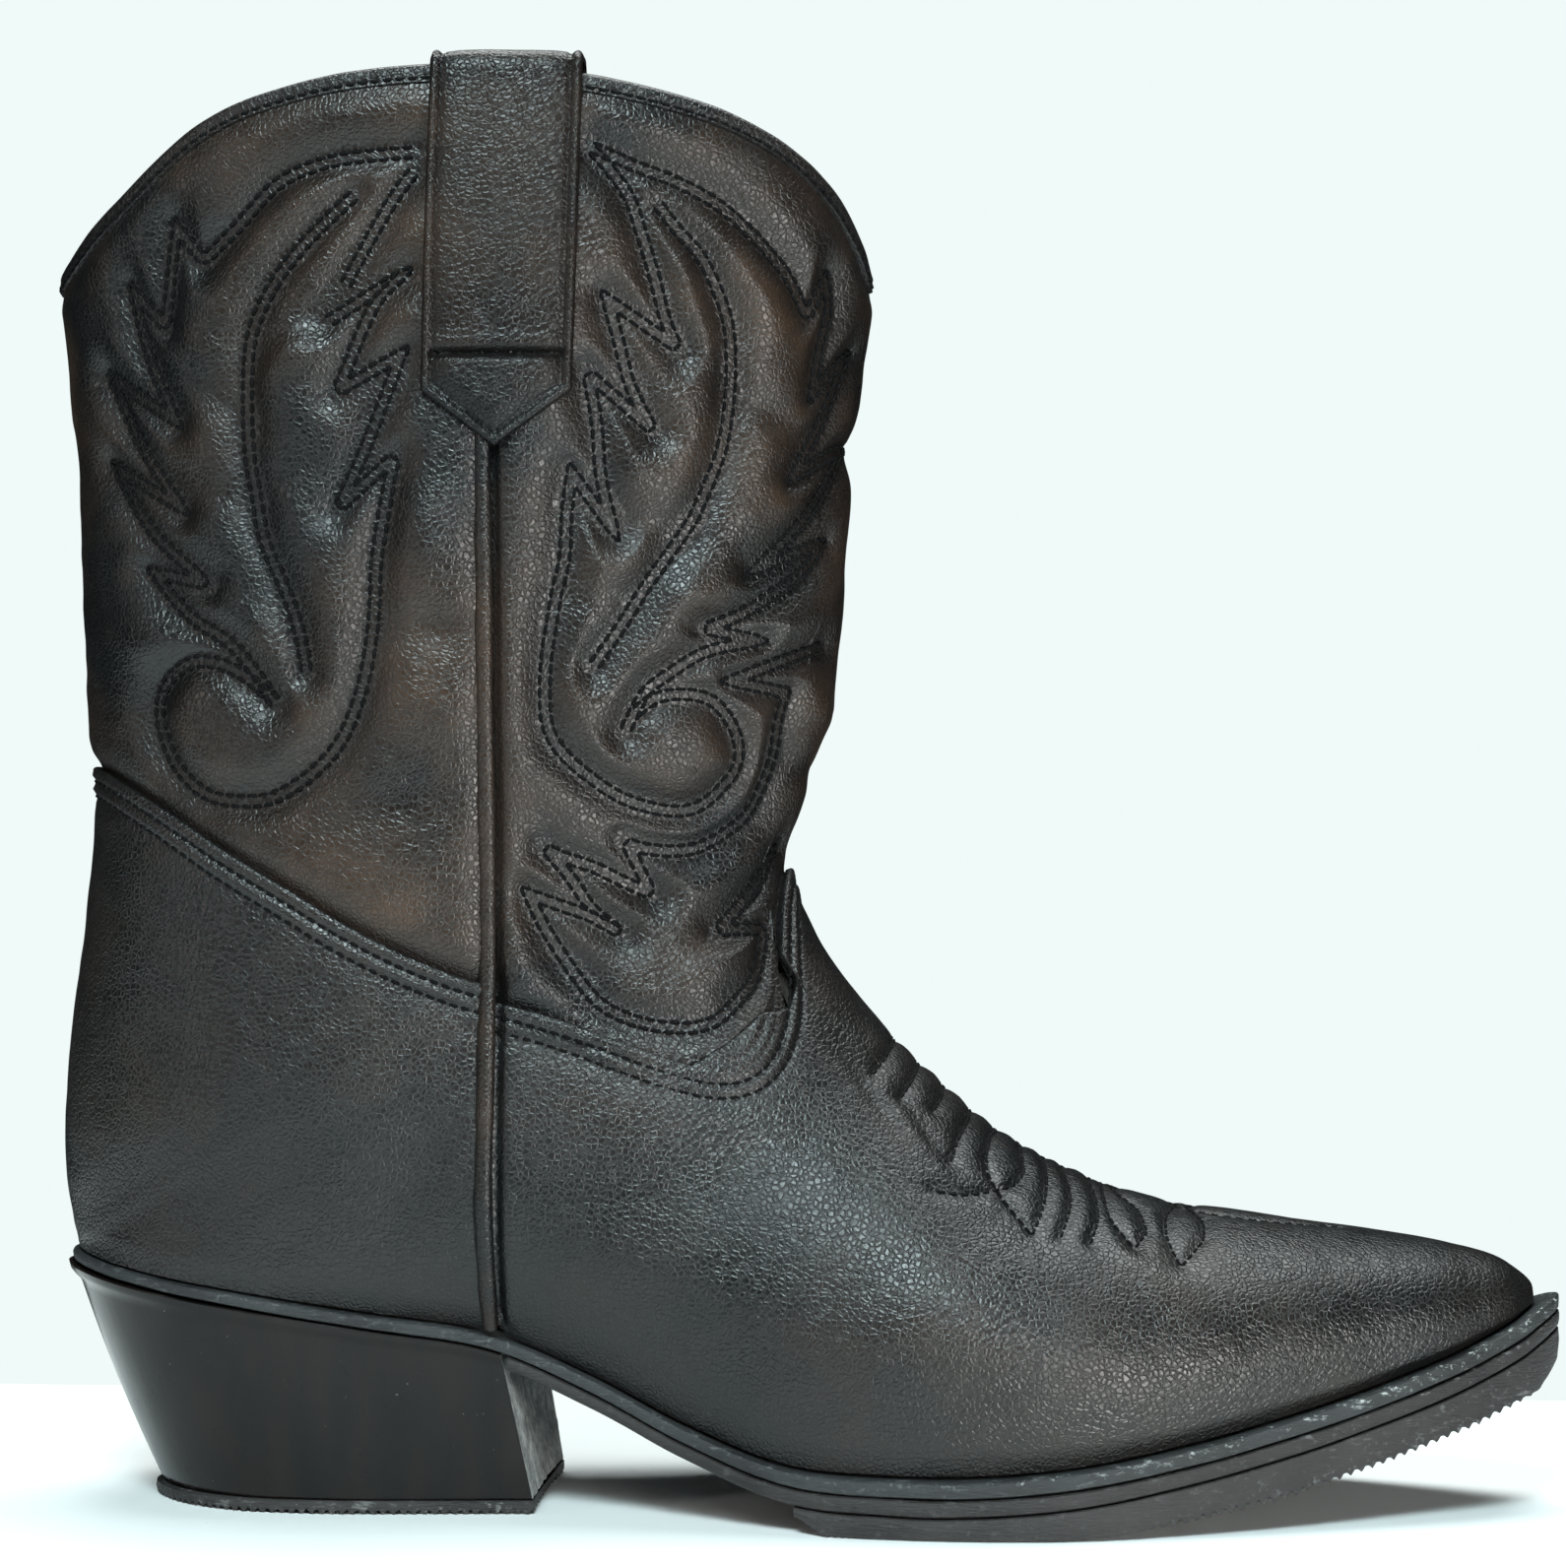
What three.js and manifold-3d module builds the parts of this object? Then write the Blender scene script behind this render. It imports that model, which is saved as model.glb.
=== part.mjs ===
// Cowboy boot for a right foot, pointed toe, stacked block heel, pull straps.
// Millimetres, +Z up, toe towards +X, outer (lateral) side towards -Y.
//
// The upper follows one reference surface, a fan of sections. Each section runs from a
// base point on the feather line (where the upper meets the sole), or on the back line
// of the leg, to a front point on the instep ridge or on the front line of the leg.
// Every sheet of leather, padding and lining lies at its own depth below that surface.

import * as THREE from 'three';
import { mergeVertices } from 'three/addons/utils/BufferGeometryUtils.js';
import Module from 'manifold-3d';

const wasm = await Module();
wasm.setup();

// ---------------------------------------------------------------- driving dimensions

const LATERAL = -1;
const MEDIAL = 1;
const ORIGIN = { x: -0.25, y: -0.6 };      // centre of the whole boot in the last's own axes

// Sections of the foot, toe to heel:
// base x, z | base half-width outer, inner | ridge x, z | widest half-width outer, inner |
// where along the section it is widest | how peaked the ridge is
const FOOT_SECTIONS = [
  [136.2, 38.0, 0.0, 0.0, 135.9, 40.4, 0.0, 0.0, 0.30, 0.00],
  [133.6, 36.4, 6.4, 6.4, 131.5, 44.6, 6.7, 6.7, 0.30, 0.00],
  [124.0, 31.9, 13.6, 13.6, 121.0, 48.0, 14.3, 14.3, 0.30, 0.00],
  [106.0, 25.4, 21.8, 22.2, 103.0, 50.9, 22.9, 23.3, 0.30, 0.02],
  [88.0, 20.3, 29.3, 30.0, 84.0, 53.6, 30.8, 31.4, 0.30, 0.05],
  [70.0, 16.1, 35.6, 36.2, 66.0, 56.2, 37.4, 38.0, 0.30, 0.08],
  [52.0, 12.9, 40.2, 40.2, 50.5, 61.6, 42.2, 42.2, 0.30, 0.12],
  [35.0, 11.4, 41.8, 40.6, 37.0, 68.8, 43.8, 43.0, 0.30, 0.16],
  [17.0, 11.2, 41.0, 37.6, 25.5, 78.3, 43.2, 41.0, 0.30, 0.18],
  [-1.0, 12.4, 37.4, 31.6, 16.0, 87.4, 40.8, 38.4, 0.30, 0.18],
  [-20.0, 18.8, 31.6, 25.2, 9.0, 95.4, 37.8, 36.2, 0.31, 0.16],
  [-38.0, 27.2, 27.4, 23.6, 3.8, 102.6, 35.8, 34.8, 0.33, 0.12],
  [-56.0, 34.4, 26.6, 25.6, 0.5, 108.8, 34.6, 34.2, 0.36, 0.08],
  [-78.0, 37.9, 28.4, 28.2, -1.8, 114.4, 34.0, 34.0, 0.38, 0.05],
  [-100.0, 41.3, 29.4, 29.4, -3.0, 119.0, 33.6, 33.6, 0.40, 0.02],
  [-118.0, 44.1, 26.2, 26.2, -3.0, 123.0, 33.4, 33.4, 0.41, 0.00],
  [-131.0, 46.1, 17.0, 17.0, -2.4, 127.0, 33.4, 33.4, 0.42, 0.00],
  [-138.6, 47.4, 0.0, 0.0, -1.2, 131.5, 33.4, 33.4, 0.43, 0.00],
];

// Sections of the leg, ankle to top: back x, z | front x, z | half-width | where it is widest
const LEG_SECTIONS = [
  [-140.4, 60.0, 0.2, 136.0, 33.4, 0.44],
  [-140.4, 76.0, 1.9, 141.5, 33.4, 0.46],
  [-139.0, 92.0, 3.6, 147.5, 33.8, 0.47],
  [-136.9, 108.0, 5.2, 155.0, 34.3, 0.48],
  [-135.2, 124.0, 6.2, 162.5, 35.0, 0.49],
  [-135.0, 138.0, 6.6, 169.5, 35.8, 0.50],
  [-135.8, 152.0, 7.0, 177.0, 36.5, 0.50],
  [-136.5, 172.0, 7.8, 187.5, 37.3, 0.50],
  [-137.3, 194.0, 9.0, 201.0, 38.2, 0.50],
  [-139.0, 212.0, 10.7, 214.5, 39.0, 0.50],
  [-141.3, 230.0, 12.5, 231.0, 39.6, 0.50],
  [-142.8, 250.0, 13.4, 251.0, 40.0, 0.50],
  [-143.2, 272.0, 13.6, 273.0, 40.2, 0.50],
];

const SEAM_X = -55;                        // both side seams run up here
const SEAM_HALF_GAP = 0.4;
const FEATHER_AHEAD_OF_SEAM = 8;           // the back panels' lower edge is known this far ahead
const TINY_STEP = 1e-6;                    // keeps the shares along an upright edge rising
const TOUCH_GAP = 0.3;

// Edges as points (x, z) in side view, the same on both sides of the boot.
const TOPLINE_BACK = [[-141.4, 230.6], [-137.5, 233], [-131, 238.5], [-124.9, 243], [-117.7, 248.8],
  [-110.4, 254], [-103.2, 257.6], [-95.9, 260], [-81.5, 263.0], [-67.1, 264.2], [SEAM_X, 264.2]];
const TOPLINE_FRONT = [[SEAM_X, 264.2], [-43, 263.4], [-31.2, 261.8], [-17, 258.5], [-9.8, 256],
  [-2.7, 252.4], [4.4, 246.8], [8.5, 241.5], [11.2, 235.6], [12.5, 230.6]];
const COUNTER_EDGE = [[SEAM_X, 97.4], [-60.6, 99], [-71, 103.2], [-82, 108.8], [-91.5, 114.4],
  [-103.5, 121.2], [-116, 128.8], [-124.6, 133.4], [-130.6, 136.2], [-135, 137.4]];
const VAMP_EDGE = [[SEAM_X, 94.6], [-45.5, 92], [-37, 89.2], [-28.4, 86], [-20, 83.2], [-13, 81.8],
  [-8.6, 82.6], [-5.6, 85.6], [-3.7, 91], [-3.2, 98], [-3.4, 106], [-3.4, 112], [-2.9, 118]];

// Depths below the reference surface: where each sheet starts and ends.
const FOOT_LEATHER = [-0.3, 1.0];
const SHAFT_LEATHER = [0.0, 1.4];
const TUCK_DEPTH = 2.5;                    // shaft leather dives this far under the foot leather
const SKIVED = 0.9;                        // and is thinned by this much there
const TUCK_LENGTH = 6;                     // how far it runs on below their edge
const TUCK_RAMP = [2.5, 14];               // above the edge, where the dive ends and starts
const STIFFENER = [1.6, 2.8];
const PADDING = [1.7, 2.9];
const LINING = [3.7, 4.5];

const BINDING = { below: 3.0, outer: -0.7, inner: 5.2, bevel: 0.9 };

const SOLE = {
  clearance: 0.7,                          // under the upper's lower edge
  weltWidth: 8,
  forefootWelt: 3.0,
  heelWelt: 2.0,
  waistSole: 2.5,
  forefootSole: 3.0,
  treadStartX: 1.5,
  breastX: -53.8,                          // heel breast, at the top
  boardInset: 6.3,
  board: [0.3, 2.3],                       // heights above the feather line
  cushion: [4.4, 6.4],
  sock: [6.8, 8.0],
};

const SHANK = { y: 1.5, halfWidth: 7, thickness: 1.1, rib: 0.5, lift: 0.3 };

const HEEL = {
  liftThickness: 2.5,
  bottomBackX: -122.5,
  bottomBreastX: -48.5,
  topHalfWidth: 31,
  bottomHalfWidth: 26,
  topMargin: 0.9,
  backBulge: 0.9,
};

const STRAP = {
  centreTopX: -50.8,
  centreLowX: -53.0,
  halfWidth: 13.6,
  topZ: 266.9,
  shoulderZ: 205.8,
  tipZ: 195.6,
  thickness: 1.6,
  clearance: 1.1,                          // off the shaft, over the side seam
  insideEndZ: 214,
  bendSquareness: 0.5,                     // of the fold over the topline: 1 is round, 0 is square
};

const PIPING = { width: 2.8, topZ: 192.5, bottomZ: 38, proud: 1.7 };

// ---------------------------------------------------------------- smooth curves

// A smooth curve through (at[i], value[i]), with the slope at either end if it is given.
function smoothCurve(at, value, firstSlope, lastSlope) {
  const last = at.length - 1;
  const step = at.slice(1).map((a, i) => a - at[i]);
  const rise = step.map((h, i) => (value[i + 1] - value[i]) / h);
  const slope = at.map((a, i) => {
    if (i === 0) return firstSlope ?? rise[0];
    if (i === last) return lastSlope ?? rise[last - 1];
    return (rise[i - 1] * step[i] + rise[i] * step[i - 1]) / (step[i] + step[i - 1]);
  });
  return (t) => {
    let i = 0;
    while (i < last - 1 && t >= at[i + 1]) i += 1;
    const h = step[i];
    const u = (t - at[i]) / h;
    const v = 1 - u;
    return (1 + 2 * u) * v * v * value[i] + u * v * v * h * slope[i]
      + u * u * (3 - 2 * u) * value[i + 1] - u * u * v * h * slope[i + 1];
  };
}

function twoPieceCurve(before, after, splitAt) {
  return (t) => (t <= splitAt ? before(t) : after(t));
}

// ---------------------------------------------------------------- the reference surface

const footCount = FOOT_SECTIONS.length;
const baseX = [...FOOT_SECTIONS.map((s) => s[0]), ...LEG_SECTIONS.map((s) => s[0])];
const baseZ = [...FOOT_SECTIONS.map((s) => s[1]), ...LEG_SECTIONS.map((s) => s[1])];
const frontX = [...FOOT_SECTIONS.map((s) => s[4]), ...LEG_SECTIONS.map((s) => s[2])];
const frontZ = [...FOOT_SECTIONS.map((s) => s[5]), ...LEG_SECTIONS.map((s) => s[3])];
const widestAlong = [...FOOT_SECTIONS.map((s) => s[8]), ...LEG_SECTIONS.map((s) => s[5])];
const ridgePeak = [...FOOT_SECTIONS.map((s) => s[9]), ...LEG_SECTIONS.map(() => 0)];
const baseHalf = [2, 3].map((k) => FOOT_SECTIONS.map((s) => s[k]));
const widestHalf = [6, 7].map((k) => [...FOOT_SECTIONS.map((s) => s[k]), ...LEG_SECTIONS.map((s) => s[4])]);

// Station values: distance run along the fan, halfway between its base and front curves.
const station = [0];
for (let i = 1; i < baseX.length; i += 1) {
  const halfBefore = i < footCount ? baseHalf[0][i - 1] : 0;
  const halfHere = i < footCount ? baseHalf[0][i] : 0;
  const alongBase = Math.hypot(baseX[i] - baseX[i - 1], baseZ[i] - baseZ[i - 1], halfHere - halfBefore);
  const alongFront = Math.hypot(frontX[i] - frontX[i - 1], frontZ[i] - frontZ[i - 1]);
  station.push(station[i - 1] + (alongBase + alongFront) / 2);
}
const TOE = 0;
const HEEL_SEAT = station[footCount - 1];  // here the base curve turns up the back
const TOP = station[station.length - 1];
const footStation = station.slice(0, footCount);
const legStation = station.slice(footCount - 1);

const baseXAt = twoPieceCurve(
  smoothCurve(footStation, baseX.slice(0, footCount), 0, 0),
  smoothCurve(legStation, baseX.slice(footCount - 1), 0),
  HEEL_SEAT,
);
const baseZAt = twoPieceCurve(
  smoothCurve(footStation, baseZ.slice(0, footCount), 0),
  smoothCurve(legStation, baseZ.slice(footCount - 1)),
  HEEL_SEAT,
);
const frontXAt = smoothCurve(station, frontX, 0);
const frontZAt = smoothCurve(station, frontZ);
const widestAlongAt = smoothCurve(station, widestAlong);
const ridgePeakAt = smoothCurve(station, ridgePeak);
const baseHalfAt = baseHalf.map((half) => {
  const last = footCount - 1;
  const heelSlope = -half[last - 1] / (footStation[last] - footStation[last - 1]);
  const foot = smoothCurve(footStation, half, half[1] / footStation[1], heelSlope);
  return twoPieceCurve(foot, () => 0, HEEL_SEAT);
});
const widestHalfAt = widestHalf.map((half) => smoothCurve(station, half, half[1] / station[1]));

function section(t, side) {
  const s = side === MEDIAL ? 1 : 0;
  const widest = Math.max(widestHalfAt[s](t), 1e-6);
  const base = THREE.MathUtils.clamp(baseHalfAt[s](t) / widest, 0, 1);
  return {
    bx: baseXAt(t),
    bz: baseZAt(t),
    fx: frontXAt(t),
    fz: frontZAt(t),
    widest,
    tuckIn: Math.sqrt(Math.max(1 - base * base, 1e-9)),
    along: widestAlongAt(t),
    peak: ridgePeakAt(t),
  };
}

// Station and place along its section of the side-view point (x, z).
function locate(x, z) {
  let low = TOE;
  let high = TOP;
  for (let i = 0; i < 40; i += 1) {
    const mid = (low + high) / 2;
    const bx = baseXAt(mid);
    const bz = baseZAt(mid);
    const beyond = (frontXAt(mid) - bx) * (z - bz) - (frontZAt(mid) - bz) * (x - bx) > 0;
    if (beyond) low = mid;
    else high = mid;
  }
  const t = (low + high) / 2;
  const bx = baseXAt(t);
  const bz = baseZAt(t);
  const dx = frontXAt(t) - bx;
  const dz = frontZAt(t) - bz;
  return { t, along: ((x - bx) * dx + (z - bz) * dz) / (dx * dx + dz * dz) };
}

function squaredHalfWidth(x, z, side) {
  const { t, along } = locate(x, z);
  const s = section(t, side);
  if (along < s.along) return s.widest ** 2 * (1 - (s.tuckIn * (1 - along / s.along)) ** 2);
  const u = (along - s.along) / (1 - s.along);
  return s.widest ** 2 * (1 - u * u) * (1 - s.peak * u * u) ** 2;
}

// Girth runs 0 at the base or back line to 1 at the ridge or front line.
function girthToAlong(girth, s) {
  const low = Math.asin(s.tuckIn);
  const rise = Math.sin(girth * (low + Math.PI / 2) - low);
  return rise < 0 ? s.along * (1 + rise / s.tuckIn) : s.along + (1 - s.along) * rise;
}

function alongToGirth(along, s) {
  const low = Math.asin(s.tuckIn);
  const rise = along < s.along ? (along / s.along - 1) * s.tuckIn : (along - s.along) / (1 - s.along);
  return (Math.asin(THREE.MathUtils.clamp(rise, -1, 1)) + low) / (low + Math.PI / 2);
}

function fanPoint(t, girth, side) {
  const s = section(t, side);
  const along = girthToAlong(girth, s);
  return { x: s.bx + (s.fx - s.bx) * along, z: s.bz + (s.fz - s.bz) * along, side };
}

function outwardNormal(x, z, side, halfWidth) {
  const h = 0.05;
  const slopeX = (squaredHalfWidth(x + h, z, side) - squaredHalfWidth(x - h, z, side)) / (2 * h);
  const slopeZ = (squaredHalfWidth(x, z + h, side) - squaredHalfWidth(x, z - h, side)) / (2 * h);
  return new THREE.Vector3(-slopeX, 2 * side * halfWidth, -slopeZ).normalize();
}

// The point of the reference surface over (x, z), moved inwards by depth.
function skin({ x, z, side }, depth) {
  const half = Math.sqrt(Math.max(squaredHalfWidth(x, z, side), 0));
  const onCentre = half < 0.02 ? 0 : half;
  const normal = outwardNormal(x, z, side, onCentre);
  return new THREE.Vector3(x, side * onCentre, z).addScaledVector(normal, -depth);
}

// ---------------------------------------------------------------- mesh builders

function geometryFrom(points, triangles) {
  const geometry = new THREE.BufferGeometry();
  geometry.setAttribute('position', new THREE.Float32BufferAttribute(points.flatMap((p) => p.toArray()), 3));
  geometry.setIndex(triangles.flat());
  const merged = mergeVertices(geometry, 1e-4);
  const index = Array.from(merged.index.array);
  const kept = [];
  for (let i = 0; i < index.length; i += 3) {
    const [a, b, c] = index.slice(i, i + 3);
    if (a !== b && b !== c && c !== a) kept.push(a, b, c);
  }
  merged.setIndex(kept);
  return merged;
}

function signedVolume(geometry) {
  const p = geometry.attributes.position;
  const corner = [0, 1, 2].map(() => new THREE.Vector3());
  let volume = 0;
  for (let i = 0; i < geometry.index.count; i += 3) {
    corner.forEach((v, k) => v.fromBufferAttribute(p, geometry.index.getX(i + k)));
    volume += corner[0].dot(corner[1].clone().cross(corner[2])) / 6;
  }
  return volume;
}

function facingOut(geometry) {
  if (signedVolume(geometry) > 0) return geometry;
  const index = geometry.index;
  for (let i = 0; i < index.count; i += 3) {
    const b = index.getX(i + 1);
    index.setX(i + 1, index.getX(i + 2));
    index.setX(i + 2, b);
  }
  return geometry;
}

// A closed sheet between two grids of points with the same rows and columns.
function sheetBetween(upper, lower) {
  const rows = upper.length;
  const columns = upper[0].length;
  const points = [...upper.flat(), ...lower.flat()];
  const below = rows * columns;
  const at = (r, c) => r * columns + c;
  const triangles = [];
  const quad = (a, b, c, d) => triangles.push([a, b, c], [a, c, d]);
  for (let r = 0; r < rows - 1; r += 1) {
    for (let c = 0; c < columns - 1; c += 1) {
      quad(at(r, c), at(r, c + 1), at(r + 1, c + 1), at(r + 1, c));
      quad(below + at(r, c), below + at(r + 1, c), below + at(r + 1, c + 1), below + at(r, c + 1));
    }
  }
  for (let c = 0; c < columns - 1; c += 1) {
    quad(at(0, c), below + at(0, c), below + at(0, c + 1), at(0, c + 1));
    quad(at(rows - 1, c), at(rows - 1, c + 1), below + at(rows - 1, c + 1), below + at(rows - 1, c));
  }
  for (let r = 0; r < rows - 1; r += 1) {
    quad(at(r, 0), at(r + 1, 0), below + at(r + 1, 0), below + at(r, 0));
    const last = at(r, columns - 1);
    const lastNext = at(r + 1, columns - 1);
    quad(last, below + last, below + lastNext, lastNext);
  }
  return facingOut(geometryFrom(points, triangles));
}

// A body through a row of rings with the same number of points each.
function bodyThrough(rings, closedLoop = false) {
  const size = rings[0].length;
  const points = rings.flat();
  const triangles = [];
  const spans = closedLoop ? rings.length : rings.length - 1;
  for (let r = 0; r < spans; r += 1) {
    const here = r * size;
    const next = ((r + 1) % rings.length) * size;
    for (let k = 0; k < size; k += 1) {
      const l = (k + 1) % size;
      triangles.push([here + k, here + l, next + l], [here + k, next + l, next + k]);
    }
  }
  if (!closedLoop) {
    const end = (rings.length - 1) * size;
    for (let k = 1; k < size - 1; k += 1) {
      triangles.push([0, k + 1, k], [end, end + k, end + k + 1]);
    }
  }
  return facingOut(geometryFrom(points, triangles));
}

function evenly(count, from = 0, to = 1) {
  return Array.from({ length: count + 1 }, (_, i) => from + ((to - from) * i) / count);
}

// Value of y at x on a row of points joined by straight lines, in rising or falling x.
function valueOn(row, x) {
  const rising = row[row.length - 1][0] > row[0][0];
  let i = 0;
  while (i < row.length - 2 && (rising ? x > row[i + 1][0] : x < row[i + 1][0])) i += 1;
  const [x0, y0] = row[i];
  const [x1, y1] = row[i + 1];
  return y0 + (y1 - y0) * THREE.MathUtils.clamp((x - x0) / (x1 - x0), 0, 1);
}

function smoothPoints(points, count) {
  const through = points.map(([x, z]) => new THREE.Vector3(x, 0, z));
  const curve = new THREE.CatmullRomCurve3(through, false, 'centripetal');
  return curve.getSpacedPoints(count).map((p) => [p.x, p.z]);
}

function smoothStep(x, from, to) {
  return THREE.MathUtils.smoothstep(x, from, to);
}

// ---------------------------------------------------------------- patches of the upper
// A patch places (u, v): u from -1 at the outer seam, over the centre line at 0, to +1 at
// the inner seam, and v from 0 at its lower edge to 1 at its upper edge.

const sideOf = (u) => (u > 0 ? MEDIAL : LATERAL);
const frontSeamX = SEAM_X + SEAM_HALF_GAP;
const backSeamX = SEAM_X - SEAM_HALF_GAP;

function frontSeamGirth(t) {
  const s = section(t, LATERAL);
  return alongToGirth((frontSeamX - s.bx) / (s.fx - s.bx), s);
}

// An edge given from the seam forwards, as rows of (share of the way to the seam, station) from
// the middle out. Where the edge stands upright the share is kept just rising.
function frontEdge(edge) {
  const rows = smoothPoints(edge, 80).map(([x, z]) => {
    const { t, along } = locate(x, z);
    const girth = alongToGirth(along, section(t, LATERAL));
    return [THREE.MathUtils.clamp((1 - girth) / (1 - frontSeamGirth(t)), 0, 1), t];
  }).reverse();
  for (let i = 1; i < rows.length; i += 1) {
    rows[i][0] = Math.max(rows[i][0], rows[i - 1][0] + TINY_STEP);
  }
  return rows;
}

const vampEdgeAcross = frontEdge(VAMP_EDGE);
const toplineAcross = frontEdge(TOPLINE_FRONT);

const frontPlace = (q, t, side) => fanPoint(t, 1 - q * (1 - frontSeamGirth(t)), side);

function frontPatch(lowEdge, topEdge) {
  return (u, v) => {
    const q = Math.abs(u);
    return frontPlace(q, THREE.MathUtils.lerp(valueOn(lowEdge, q), valueOn(topEdge, q), v), sideOf(u));
  };
}

// An edge's rows moved by a distance square to the edge, along the surface.
function movedEdge(rows, placeAt, distance) {
  const pointAt = (share, value) => skin(placeAt(share, value, LATERAL), 0);
  return rows.map(([share, value]) => {
    const from = Math.max(share - 0.02, 0);
    const to = Math.min(share + 0.02, 1);
    const along = pointAt(to, valueOn(rows, to)).sub(pointAt(from, valueOn(rows, from))).normalize();
    const aside = pointAt(share, value + 0.5).sub(pointAt(share, value - 0.5));
    const square = Math.max(along.cross(aside).length(), 0.4);
    return [share, value + distance / square];
  });
}

const shiftedEdge = (rows, shift) => rows.map(([share, value]) => [share, value + shift]);

// The back line of the heel and leg, as (z, x), and the station of the heel's feather line.
const backLine = evenly(60, HEEL_SEAT, TOP).map((t) => [baseZAt(t), baseXAt(t)]);
const backXAt = (z) => valueOn(backLine, Math.max(z, baseZAt(HEEL_SEAT)));

// An edge round the back as rows of (share of the way from seam to back line, z).
function backEdge(edge) {
  return edge.map(([x, z]) => [(backSeamX - x) / (backSeamX - backXAt(z)), z]);
}

const feather = evenly(60, 0, HEEL_SEAT).map((t) => [baseXAt(t), baseZAt(t)]);
const featherBack = feather.filter(([x]) => x < SEAM_X + FEATHER_AHEAD_OF_SEAM);
const featherAround = backEdge(featherBack);
const counterEdgeAround = backEdge(smoothPoints(COUNTER_EDGE, 60));
const toplineAround = backEdge(smoothPoints([...TOPLINE_BACK].reverse(), 60));

const backPlace = (share, z, side) => ({ x: backSeamX + share * (backXAt(z) - backSeamX), z, side });

function backPatch(lowEdge, topEdge) {
  return (u, v) => {
    const share = Math.cos((Math.abs(u) * Math.PI) / 2);
    const z = THREE.MathUtils.lerp(valueOn(lowEdge, share), valueOn(topEdge, share), v);
    return backPlace(share, z, sideOf(u));
  };
}

// Where the vamp ends at the side: on the feather line, and behind it on the side seam.
const vampSideGirth = (t) => (baseXAt(t) > frontSeamX ? 0 : frontSeamGirth(t));

// Rows run from the toe (v = 0) to the vamp's top edge (v = 1); u is 0 on the ridge, 1 at the side.
function vampPatch(topShift, toeStation, endShare = 1) {
  return (u, v) => {
    const q = Math.abs(u);
    const end = valueOn(vampEdgeAcross, q) - topShift;
    const t = THREE.MathUtils.lerp(toeStation, end, v * endShare);
    return fanPoint(t, 1 - q * (1 - vampSideGirth(t)), sideOf(u));
  };
}

// A sheet of a patch between two depths; dive(u, v) from 0 to 1 tucks it under the foot leather.
function patchSheet(place, across, up, [outer, inner], dive = () => 0) {
  const rowAt = (v, depth, tuck) => across.map((u) => skin(place(u, v), depth + tuck * dive(u, v)));
  const grid = (depth, tuck) => up.map((v) => rowAt(v, depth, tuck));
  return sheetBetween(grid(outer, TUCK_DEPTH), grid(inner, TUCK_DEPTH - SKIVED));
}

// How far back a sheet's rows start from the toe tip, and where its tip lies, by its depth.
const TOE_TIP_Z = 39.4;
const TIP_STATIONS_BACK = 3.7;             // for each mm of depth
const TIP_BACK = 1.35;
const TIP_UP = 0.3;
const toeStationAt = (depth) => Math.max(0, TIP_STATIONS_BACK * depth);
const toeTipAt = (depth) => new THREE.Vector3(baseXAt(0) - TIP_BACK * depth, 0, TOE_TIP_Z + TIP_UP * depth);

function toeSheet(across, along, depths, topShift, endShare) {
  const grids = depths.map((depth) => {
    const place = vampPatch(topShift, toeStationAt(depth), endShare);
    return along.map((v) => across.map((u) => (v === 0 ? toeTipAt(depth) : skin(place(u, v), depth))));
  });
  return sheetBetween(grids[0], grids[1]);
}

// ---------------------------------------------------------------- leather, padding, lining

const mirrored = (half) => [...half.slice(1).reverse().map((u) => -u), ...half];
const FRONT_COLUMNS = mirrored([0, 0.06, 0.13, 0.21, 0.3, 0.4, 0.51, 0.63, 0.75, 0.87, 1]);
const BACK_COLUMNS = evenly(18, -1, 1);
const VAMP_COLUMNS = mirrored([0, 0.06, 0.12, 0.18, 0.24, 0.31, 0.38, 0.46, 0.54, 0.63, 0.72, 0.81, 0.9, 1]);
const VAMP_ROWS = [0, 0.012, 0.035, 0.075, 0.14, 0.22, 0.31, 0.4, 0.5, 0.6, 0.7, 0.79, 0.87, 0.92, 0.96, 1];
const VAMP_LINING_ROWS = [0, 0.03, 0.1, 0.2, 0.31, 0.42, 0.53, 0.64, 0.73, 0.803, 0.87, 0.935, 1];
const FRONT_ROWS = [0, 0.035, 0.075, 0.12, 0.17, 0.24, 0.33, 0.45, 0.6, 0.8, 1];
const BACK_ROWS = [0, 0.05, 0.09, 0.15, 0.25, 0.4, 0.6, 0.8, 1];
const ROWS_TUCKED = 2;                     // of those rows, under the foot leather
const ROWS_RAMPED = 4;                     // of those rows, up to where the padding starts
const LINING_SPLIT = 2;                    // foot linings stop this far below the leather's edge
const BINDING_FOOT = BINDING.below + 2 * TOUCH_GAP;

const frontUnderBinding = movedEdge(toplineAcross, frontPlace, -BINDING_FOOT);
const backUnderBinding = movedEdge(toplineAround, backPlace, -BINDING_FOOT);
const frontTucked = shiftedEdge(vampEdgeAcross, -TUCK_LENGTH);
const backTucked = shiftedEdge(counterEdgeAround, -TUCK_LENGTH);

// How far a shaft panel is tucked under, from 1 at its hidden edge to 0 above the ramp.
function tuckUnder(hiddenEdge, topEdge, shareOf) {
  return (u, v) => {
    const share = shareOf(u);
    const run = valueOn(topEdge, share) - valueOn(hiddenEdge, share);
    return 1 - smoothStep(run * v - TUCK_LENGTH, ...TUCK_RAMP);
  };
}

function vamp() {
  return toeSheet(VAMP_COLUMNS, VAMP_ROWS, FOOT_LEATHER, 0);
}

function heelCounterCover() {
  return patchSheet(backPatch(featherAround, counterEdgeAround), BACK_COLUMNS, evenly(7), FOOT_LEATHER);
}

const frontShaft = frontPatch(frontTucked, frontUnderBinding);
const backShaft = backPatch(backTucked, backUnderBinding);

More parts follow.
